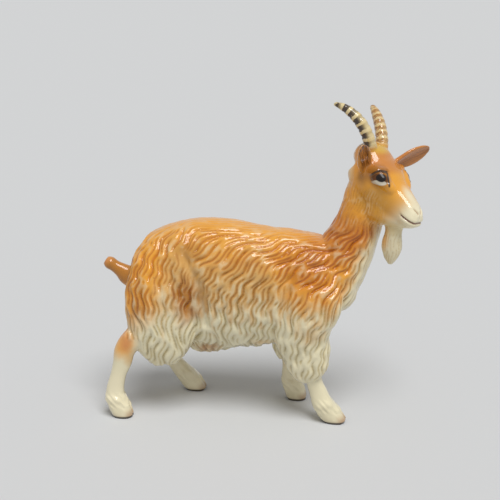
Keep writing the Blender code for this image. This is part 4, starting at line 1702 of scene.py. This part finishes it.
@dataclass(frozen=True)
class Fleece:
    """The patches of colour on the body and head, and how the coat's grooves darken them with pooled
    colour and painted shade.
    """

    paint: Palette
    patch_scale: float = 0.09
    drift: float = 12.0
    lock_scale: tuple[float, float, float] = (0.42, 0.42, 0.09)
    ragged: float = 44.0
    tan_strength: float = 0.95
    throat_strength: float = 0.9
    # how far the ridges are lightened, partly a painted highlight, and the grooves darkened, partly
    # painted shade
    ridge_strength: float = 0.38
    groove_strength: float = 0.9

    def body_sprays(self) -> list[Spray]:
        """The patches on the body, in the order that they are sprayed."""
        p = self.paint
        far = 90.0
        return [
            Spray((-12, 0, 108), (70, far, 44), p.orange, 0.88, 0.50),
            Spray((25, 0, 78), (26, far, 27), p.orange, 1.0, 0.5),
            Spray((23, 0, 74), (18, far, 20), p.deep, 0.80, 0.2),
            Spray((37, 0, 94), (16, far, 26), p.deep, 0.95, 0.45),
            Spray((-55, 0, 70), (20, far, 32), p.orange, 0.95, 0.45),
            Spray((-53, 0, 57), (8, far, 18), p.amber, 0.75, 0.1),
            # amber and brown along the furrow before the thigh: the thigh's darker colour, with painted
            # shade in the furrow
            Spray((-32, 0, 57), (8, far, 17), p.amber, 1.0, 0.2),
            Spray((-25, 0, 60), (5, far, 10), p.brown, 0.5, 0.1),
            Spray((-31, 0, 80), (10, far, 6), p.brown, 0.35, 0.1),
            Spray((-5, 0, 76), (30, far, 5), p.deep, 0.30, 0.1),
            Spray((-67, 0, 66), (13, far, 11), p.amber, 0.9, 0.5),
            Spray((-75, 0, 71), (6, far, 5), p.blush, 0.7, 0.2),
            Spray((-61, 0, 37), (10, far, 12), p.orange, 0.85, 0.25),
            Spray((-57, 0, 29), (5, far, 8), p.tan, 0.6, 0.1),
            Spray((-60, 0, 38), (6, far, 7), p.blush, 0.85, 0.2),
            Spray((-23, 0, 32), (11, far, 5), p.amber, 0.75, 0.1),
            Spray((3, 0, 36), (9, far, 5), p.gold, 0.45, 0.1),
            Spray((12, 14, 28), (7, 8, 16), p.gold, 0.6, 0.2),
            Spray((24, 0, 45), (10, far, 7), p.gold, 0.35, 0.1),
        ]

    def head_sprays(self) -> list[Spray]:
        """The patches on the head, in the head's frame."""
        p = self.paint
        wide = 30.0
        return [
            Spray((0, 0, -14), (26, wide, 25), p.orange, 0.9, 0.55),
            Spray((2, 0, -4), (14, wide, 11), p.russet, 0.85, 0.4),
            Spray((8, 0, -8), (7, wide, 4), p.russet, 0.55, 0.2),
            Spray((5, 0, -22), (13, wide, 9), p.gold, 0.95, 0.35),
            Spray((0, 0, -13), (5, wide, 5.5), p.brown, 0.75, 0.1),
            Spray((9, 0, -26), (9, wide, 5), p.gold, 0.6, 0.2),
            Spray((29, 0, -27), (13.5, wide, 12), p.ivory, 1.0, 0.5),
            # ivory down the bridge of the nose: a pale blaze, partly a painted highlight
            Spray((20, 0, -17), (7, 5, 9), p.ivory, 0.9, 0.25),
            Spray((13, 0, -35), (11, wide, 5.5), p.cream, 0.85, 0.3),
            Spray((7, 0, -31), (6, wide, 4), p.gold, 0.5, 0.1),
            Spray((10, 0, -34), (9, wide, 5.5), p.straw, 0.45, 0.2),
            Spray((7.6, -4, -39), (4.8, 7, 8), p.orange, 0.8, 0.2),
            Spray((1, 0, -1), (5, 9, 4), p.straw, 0.85, 0.3),
            Spray((-9, 0, -11), (5, wide, 11), p.cream, 0.6, 0.2),
        ]

    def drifted(self, web: Web, place: Sock) -> Sock:
        """The point, moved by slow noise so that the patches have uneven edges."""
        blur = web.vector("SUBTRACT", web.noise(place, self.patch_scale, 3.0, "Color"), (0.5, 0.5, 0.5))
        return web.vector("ADD", place, web.scale(blur, self.drift))

    def ground(self, web: Web, place: Sock, z: Sock) -> Sock:
        """Paints cream on the legs and belly, and tan above that runs down along the locks.

        Args:
            web: the material.
            place: the point, in millimetres.
            z: its drifted height.

        Returns:
            The colour.
        """
        locks = web.noise(web.vector("MULTIPLY", place, self.lock_scale), 1.0, 2.0)
        level = z + (locks - 0.5) * self.ragged
        colour = web.mix(z.rise(28, 18), self.paint.cream, self.paint.ivory)
        return web.mix(level.rise(42, 66) * self.tan_strength, colour, self.paint.tan)

    def in_coat(self, web: Web, colour: Sock, z: Sock, wisps: Sock) -> Sock:
        """Lightens the ridges of the locks in wisps, partly as a painted highlight, and darkens the
        grooves between them with pooled glaze colour and painted shade.

        Args:
            web: the material.
            colour: the colour so far.
            z: the drifted height, in millimetres.
            wisps: noise that picks the locks whose ridges are lightened.

        Returns:
            The new colour.
        """
        groove = web.attribute("groove")
        # ridges paler toward cream: colour that varies lock by lock, with a painted highlight on the
        # ridges
        ridge = web.attribute("coat") * groove.rise(0.30, 0.02) * wisps.rise(0.42, 0.66)
        colour = web.mix(ridge * self.ridge_strength, colour, self.paint.cream)
        # grooves darkened by multiplying: glaze colour pooled in them, with painted shade in the
        # creases
        tint = web.mix(z.rise(42, 62), self.paint.shade, self.paint.groove)
        return web.mix(groove.rise(0.10, 0.80) * self.groove_strength, colour, tint, "MULTIPLY")

    def build(self, web: Web, place: Sock, local: Sock, wisps: Sock) -> Sock:
        """Paints the whole goat, but for its face, ears, horns and hooves.

        Args:
            web: the material.
            place: the point, in millimetres.
            local: the point in the head's frame.
            wisps: noise that picks the locks whose ridges are lightened.

        Returns:
            The colour.
        """
        drifted = self.drifted(web, place)
        x, _, z = web.parts(drifted)
        colour = self.ground(web, place, z)
        for spray in self.body_sprays():
            colour = spray.over(web, colour, drifted)
        throat = (x - z * THROAT_LEAN).rise(9.5, 16.0) * z.rise(112, 96)
        colour = web.mix(throat * self.throat_strength, colour, self.paint.cream)
        for spray in self.head_sprays():
            colour = spray.over(web, colour, local)
        return self.in_coat(web, colour, z, wisps)


@dataclass(frozen=True)
class Oval:
    """A soft oval on the eye, in millimetres: its middle along the eye and up from the poll."""

    along: float
    up: float
    half_length: float
    half_height: float
    soft: float

    def share(self, along: Sock, z: Sock) -> Sock:
        """1 inside the oval, falling to 0 across its rim."""
        away = ((along - self.along) / self.half_length) ** 2 + ((z - self.up) / self.half_height) ** 2
        return away.rise(1 + self.soft, 1 - self.soft)


@dataclass(frozen=True)
class EyePaint:
    """The eyes: a white, a dark pupil under the lid and a dark line to the inner corner."""

    paint: Palette
    hollow: Oval = Oval(0.2, -11.6, 5.0, 4.4, 0.8)
    rim: Oval = Oval(0.2, -12.5, 3.6, 2.5, 0.3)
    white: Oval = Oval(0.2, -14.0, 2.9, 1.05, 0.3)
    pupil: Oval = Oval(0.7, -11.9, 2.1, 1.7, 0.25)
    opening: Oval = Oval(0.3, -12.0, 3.2, 2.8, 0.3)

    def along(self, x: Sock, y: Sock) -> Sock:
        """How far along the eye a point lies, from its outer to its inner corner."""
        return (x + y.rise(-1.0, 1.0) * Lids.far_back) * Lids.slant - abs(y) * Lids.slope

    def wet(self, x: Sock, y: Sock, z: Sock) -> Sock:
        """Where the eyes lie open."""
        return self.opening.share(self.along(x, y), z) * abs(y).rise(3.8, 5.0)

    def build(self, web: Web, colour: Sock, x: Sock, y: Sock, z: Sock) -> Sock:
        """Paints the eyes.

        Args:
            web: the material.
            colour: the colour so far.
            x: forward of the poll, in millimetres.
            y: to the left of it.
            z: up from it.

        Returns:
            The new colour.
        """
        p = self.paint
        beside = (0.0 - y).rise(3.8, 5.0).over(y.rise(8.3, 9.1))
        along = self.along(x, y)
        curve = along.rise(-0.1, 0.1) * (Lids.inner_curve - Lids.outer_curve) + Lids.outer_curve
        upper = Lids.upper - along * along * curve
        below = (upper - z).rise(0.0, 0.4)
        colour = web.mix(self.hollow.share(along, z) * beside * 0.7, colour, p.brown)
        layers = ((self.rim, 0.85, p.bark), (self.white, 1.0, p.white), (self.pupil, 1.0, p.dark))
        for oval, strength, shade in layers:
            colour = web.mix(oval.share(along, z) * beside * below * strength, colour, shade)
        ends = along.rise(-4.0, -3.0) * along.rise(4.0, 3.4)
        lash = abs(z - upper).rise(0.75, 0.35) * ends
        colour = web.mix(lash * beside * 0.85, colour, p.dark)
        tear = abs(along - 3.4 + (z + 10.0) * 0.18).rise(0.55, 0.25)
        tear = tear * z.rise(-16.0, -15.0) * z.rise(-9.6, -10.2)
        return web.mix(tear * beside * 0.9, colour, p.dark)


@dataclass(frozen=True)
class EarPaint:
    """Russet ears, the near one's shell paler tan, partly a painted highlight, with dark strands inside
    that are softer in the far one.
    """

    paint: Palette

    def build(self, web: Web, colour: Sock, y: Sock, far: Sock) -> Sock:
        """Paints the ears.

        Args:
            web: the material.
            colour: the colour so far.
            y: to the left of the poll, in millimetres.
            far: 1 on the far ear.

        Returns:
            The new colour.
        """
        p = self.paint
        # the near ear's shell is mixed toward tan: a paler rim, partly a painted highlight
        shell = web.mix(y.rise(-8.0, -9.0) * 0.45, p.russet, p.tan)
        colour = web.mix(web.attribute("ear") * 0.85, colour, shell)
        across = (web.attribute("ear_across"), y * 0.12, 0.0)
        streak = web.noise(web.node("ShaderNodeCombineXYZ", {}, across), 1.5, 2.0)
        clear = 1.0 - far * 0.6
        inside = web.mix(streak.rise(0.32, 0.52) * clear, p.russet, p.brown)
        inside = web.mix(streak.rise(0.50, 0.62) * clear, inside, p.bark)
        return web.mix(web.attribute("ear_inside"), colour, inside)


@dataclass(frozen=True)
class HornPaint:
    """Cream horns, with broken dark bands in the rings' grooves that are softer on the far one."""

    paint: Palette
    patch_scale: float = 0.55
    mottle_scale: float = 1.3

    def bands(self, web: Web, patches: Sock, far: Sock) -> Sock:
        """Where the dark bands and the dark tip are.

        Args:
            web: the material.
            patches: noise that breaks the bands up.
            far: 1 on the far horn.

        Returns:
            1 on a band, falling to 0 beside it.
        """
        along = web.attribute("horn_along")
        front = web.attribute("horn_front")
        start = math.pi * (0.5 - 2 * Face.ring_phase)
        turns = along * (2 * math.pi * Face.rings) + start + (patches - 0.5) * (far * 2.4 + 2.2)
        band = turns.sine().rise(-0.65, -0.20) * patches.rise(0.20, 0.30)
        band = band * (1 - front * (0.85 - far * 0.6)) * along.rise(0.93, 0.86)
        return band.over(along.rise(0.86, 0.94) * (1 - front) * patches.rise(0.42, 0.52))

    def build(self, web: Web, colour: Sock, place: Sock, far: Sock) -> Sock:
        """Paints the horns.

        Args:
            web: the material.
            colour: the colour so far.
            place: the point, in millimetres.
            far: 1 on the far horn.

        Returns:
            The new colour.
        """
        p = self.paint
        patches = web.noise(place, self.patch_scale, 2.0)
        mottle = web.noise(place, self.mottle_scale, 3.0)
        stain = web.mix(far * (mottle.rise(0.35, 0.6) * 0.5 + 0.5), p.ring, p.amber)
        shade = web.mix(patches.rise(0.45, 0.7) * 0.35, p.horn, p.straw)
        shade = web.mix(far * mottle.rise(0.42, 0.62) * 0.6, shade, p.tan)
        strength = 0.97 - far * (mottle.rise(0.5, 0.65) * 0.5 + 0.1)
        shade = web.mix(self.bands(web, patches, far) * strength, shade, stain)
        return web.mix(web.attribute("horn"), colour, shade)


@dataclass(frozen=True)
class Glaze:
    """The painted colours under a clear glaze, which lies thinner over the open eyes."""

    paint: Palette = Palette()
    wisp_scale: float = 0.22
    sole_edge: tuple[float, float] = (1.4, 0.7)
    roughness: float = 0.42
    specular: float = 0.15
    coat_roughness: float = 0.05
    coat_ior: float = 1.5
    thinner_on_eyes: float = 0.65

    def colour(self, web: Web, place: Sock, local: Sock) -> Sock:
        """Paints the goat, part after part.

        Args:
            web: the material.
            place: the point, in millimetres.
            local: the point in the head's frame.

        Returns:
            The colour.
        """
        p = self.paint
        wisps = web.noise(place, self.wisp_scale, 3.0)
        x, y, z = web.parts(local)
        far = y.rise(-1.0, 1.0)
        colour = Fleece(p).build(web, place, local, wisps)
        colour = EarPaint(p).build(web, colour, y, far)
        colour = EyePaint(p).build(web, colour, x, y, z)
        colour = web.mix(web.attribute("mouth").rise(0.3, 0.9) * 0.85, colour, p.lip)
        # darkens the nostril slits and the fold below them: painted shade in the creases
        colour = web.mix(web.attribute("nostril").rise(0.2, 0.9) * 0.6, colour, p.hoof)
        colour = HornPaint(p).build(web, colour, place, far)
        colour = web.mix(web.attribute("toe") * (wisps * 0.6 + 0.45), colour, p.hoof)
        # darkens every hoof toward the floor: near black below 0.7 mm, fading out by 1.4 mm
        height = web.parts(place)[2]
        return web.mix(height.rise(*self.sole_edge) * 0.92, colour, p.dark)

    def build(self, head: Head) -> bpy.types.Material:
        """Makes the material.

        Args:
            head: the head, whose frame the face is painted in.

        Returns:
            The glazed material.
        """
        web = Web(bpy.data.materials.new("glazed_goat"))
        where = web.node("ShaderNodeTexCoord", {}, out="Object")
        to_head = head.place().inverted()
        turned = {"Location": tuple(to_head.translation), "Rotation": tuple(to_head.to_euler())}
        local = web.node("ShaderNodeMapping", {}, {"Vector": where, **turned})
        place, local = web.scale(where, 1 / MM), web.scale(local, 1 / MM)
        web.feed("Base Color", self.colour(web, place, local))
        web.feed("Roughness", self.roughness)
        web.feed("Specular IOR Level", self.specular)
        wet = EyePaint(self.paint).wet(*web.parts(local))
        web.feed("Coat Weight", 1.0 - wet * self.thinner_on_eyes)
        web.feed("Coat Roughness", self.coat_roughness)
        web.feed("Coat IOR", self.coat_ior)
        return web.owner


@dataclass
class Studio:
    """A pale floor and backdrop, soft lamps, and the camera at the photograph's angle."""

    camera_at: tuple[float, float, float] = (0.0486, -0.4391, 0.2000)
    camera_aim: tuple[float, float, float] = (-0.0068, 0.0125, 0.0730)
    lens: float = 73.0
    sensor: float = 36.0
    nearest: float = 0.01
    floor_size: float = 60.0
    floor_roughness: float = 0.9
    backdrop: Colour = (0.64, 0.65, 0.66, 1)
    world: float = 0.38
    lamp: Colour = (1.0, 0.99, 0.97, 1)
    sun_strength: float = 2.25
    sun_angle: float = 32.0
    sun_from: tuple[float, float, float] = (0.22, -0.42, 0.88)

    def floor(self) -> None:
        """Lays the floor."""
        mesh = bpy.data.meshes.new("studio_floor")
        bm = bmesh.new()
        bmesh.ops.create_grid(bm, x_segments=1, y_segments=1, size=self.floor_size / 2)
        bm.to_mesh(mesh)
        bm.free()
        floor = add_object("studio_floor", mesh)
        web = Web(bpy.data.materials.new("studio_floor"))
        web.feed("Base Color", self.backdrop)
        web.feed("Roughness", self.floor_roughness)
        web.feed("Specular IOR Level", 0.0)
        mesh.materials.append(web.owner)

    def sun(self) -> None:
        """Hangs one broad soft light high over the camera's left shoulder."""
        light = bpy.data.lights.new("overhead", "SUN")
        light.energy = self.sun_strength
        light.angle = math.radians(self.sun_angle)
        sun = add_object("overhead", light)
        sun.rotation_euler = Vector(self.sun_from).to_track_quat("Z", "Y").to_euler()

    def sky(self) -> None:
        """Lights the room evenly from all round."""
        world = bpy.data.worlds.new("studio")
        bpy.context.scene.world = world
        web = Web(world)
        kinds = ("Is Camera Ray", "Is Glossy Ray", "Is Transmission Ray")
        camera, glossy, through = (web.node("ShaderNodeLightPath", {}, out=kind) for kind in kinds)
        light = web.node("ShaderNodeBackground", {}, (self.lamp, self.world))
        seen = web.node("ShaderNodeBackground", {}, (self.backdrop, 1.0))
        shown = web.node("ShaderNodeMixShader", {}, (camera.over(glossy).over(through), light, seen))
        web.tree.links.new(shown.socket, web.tree.nodes["World Output"].inputs[0])

    def camera(self) -> None:
        """Sets the camera up."""
        data = bpy.data.cameras.new("photo_camera")
        data.lens = self.lens
        data.sensor_width = self.sensor
        data.clip_start = self.nearest
        camera = add_object("photo_camera", data)
        camera.location = self.camera_at
        aim = Vector(self.camera_aim) - Vector(self.camera_at)
        camera.rotation_euler = aim.to_track_quat("-Z", "Y").to_euler()
        bpy.context.scene.camera = camera

    def build(self) -> None:
        """Sets the whole studio up."""
        self.floor()
        self.sky()
        self.sun()
        self.camera()
        bpy.context.scene.view_settings.view_transform = "Standard"


def thin_out(goat: bpy.types.Object) -> None:
    """Brings the skin down to the triangles that the carving needs.

    Args:
        goat: the carved goat.
    """
    goat.data.calc_loop_triangles()
    thin = goat.modifiers.new("thin_out", "DECIMATE")
    thin.ratio = min(1.0, MOST_TRIANGLES / len(goat.data.loop_triangles))
    bake(goat)


def stand_centred(goat: bpy.types.Object) -> None:
    """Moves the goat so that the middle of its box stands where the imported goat's does.

    Args:
        goat: the finished goat.
    """
    low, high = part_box("goat")
    corners = [Vector(corner) for corner in goat.bound_box]
    middle = sum(corners, Vector()) / len(corners)
    aim = (low + high) / 2
    goat.data.transform(Matrix.Translation((aim.x - middle.x, aim.y - middle.y, 0)))


def main() -> None:
    logging.basicConfig(level=logging.INFO, format="%(name)s: %(message)s")
    body = Body()
    for obj in [obj for obj in bpy.data.objects if obj.name in ("Cube", "Light", "Camera")]:
        bpy.data.objects.remove(obj)
    goat = body.fuse(FINE_VOXEL, FINE_SOFTENING)
    log.info("skin: %d vertices", len(goat.data.vertices))
    skin = Skin(goat, body)
    Coat().carve(skin)
    Face().carve(skin)
    hooves = Hooves()
    hooves.cleave(skin, make_legs(body.trunk))
    thin_out(goat)
    hooves.cut(goat)
    stand_centred(goat)
    goat.data.shade_smooth()
    goat.data.materials.clear()
    goat.data.materials.append(Glaze().build(body.head))
    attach(goat, "root")
    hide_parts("goat")
    goat.data.calc_loop_triangles()
    log.info("goat_glazed: %d triangles", len(goat.data.loop_triangles))
    Studio().build()
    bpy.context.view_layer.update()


if __name__ == "__main__":
    main()
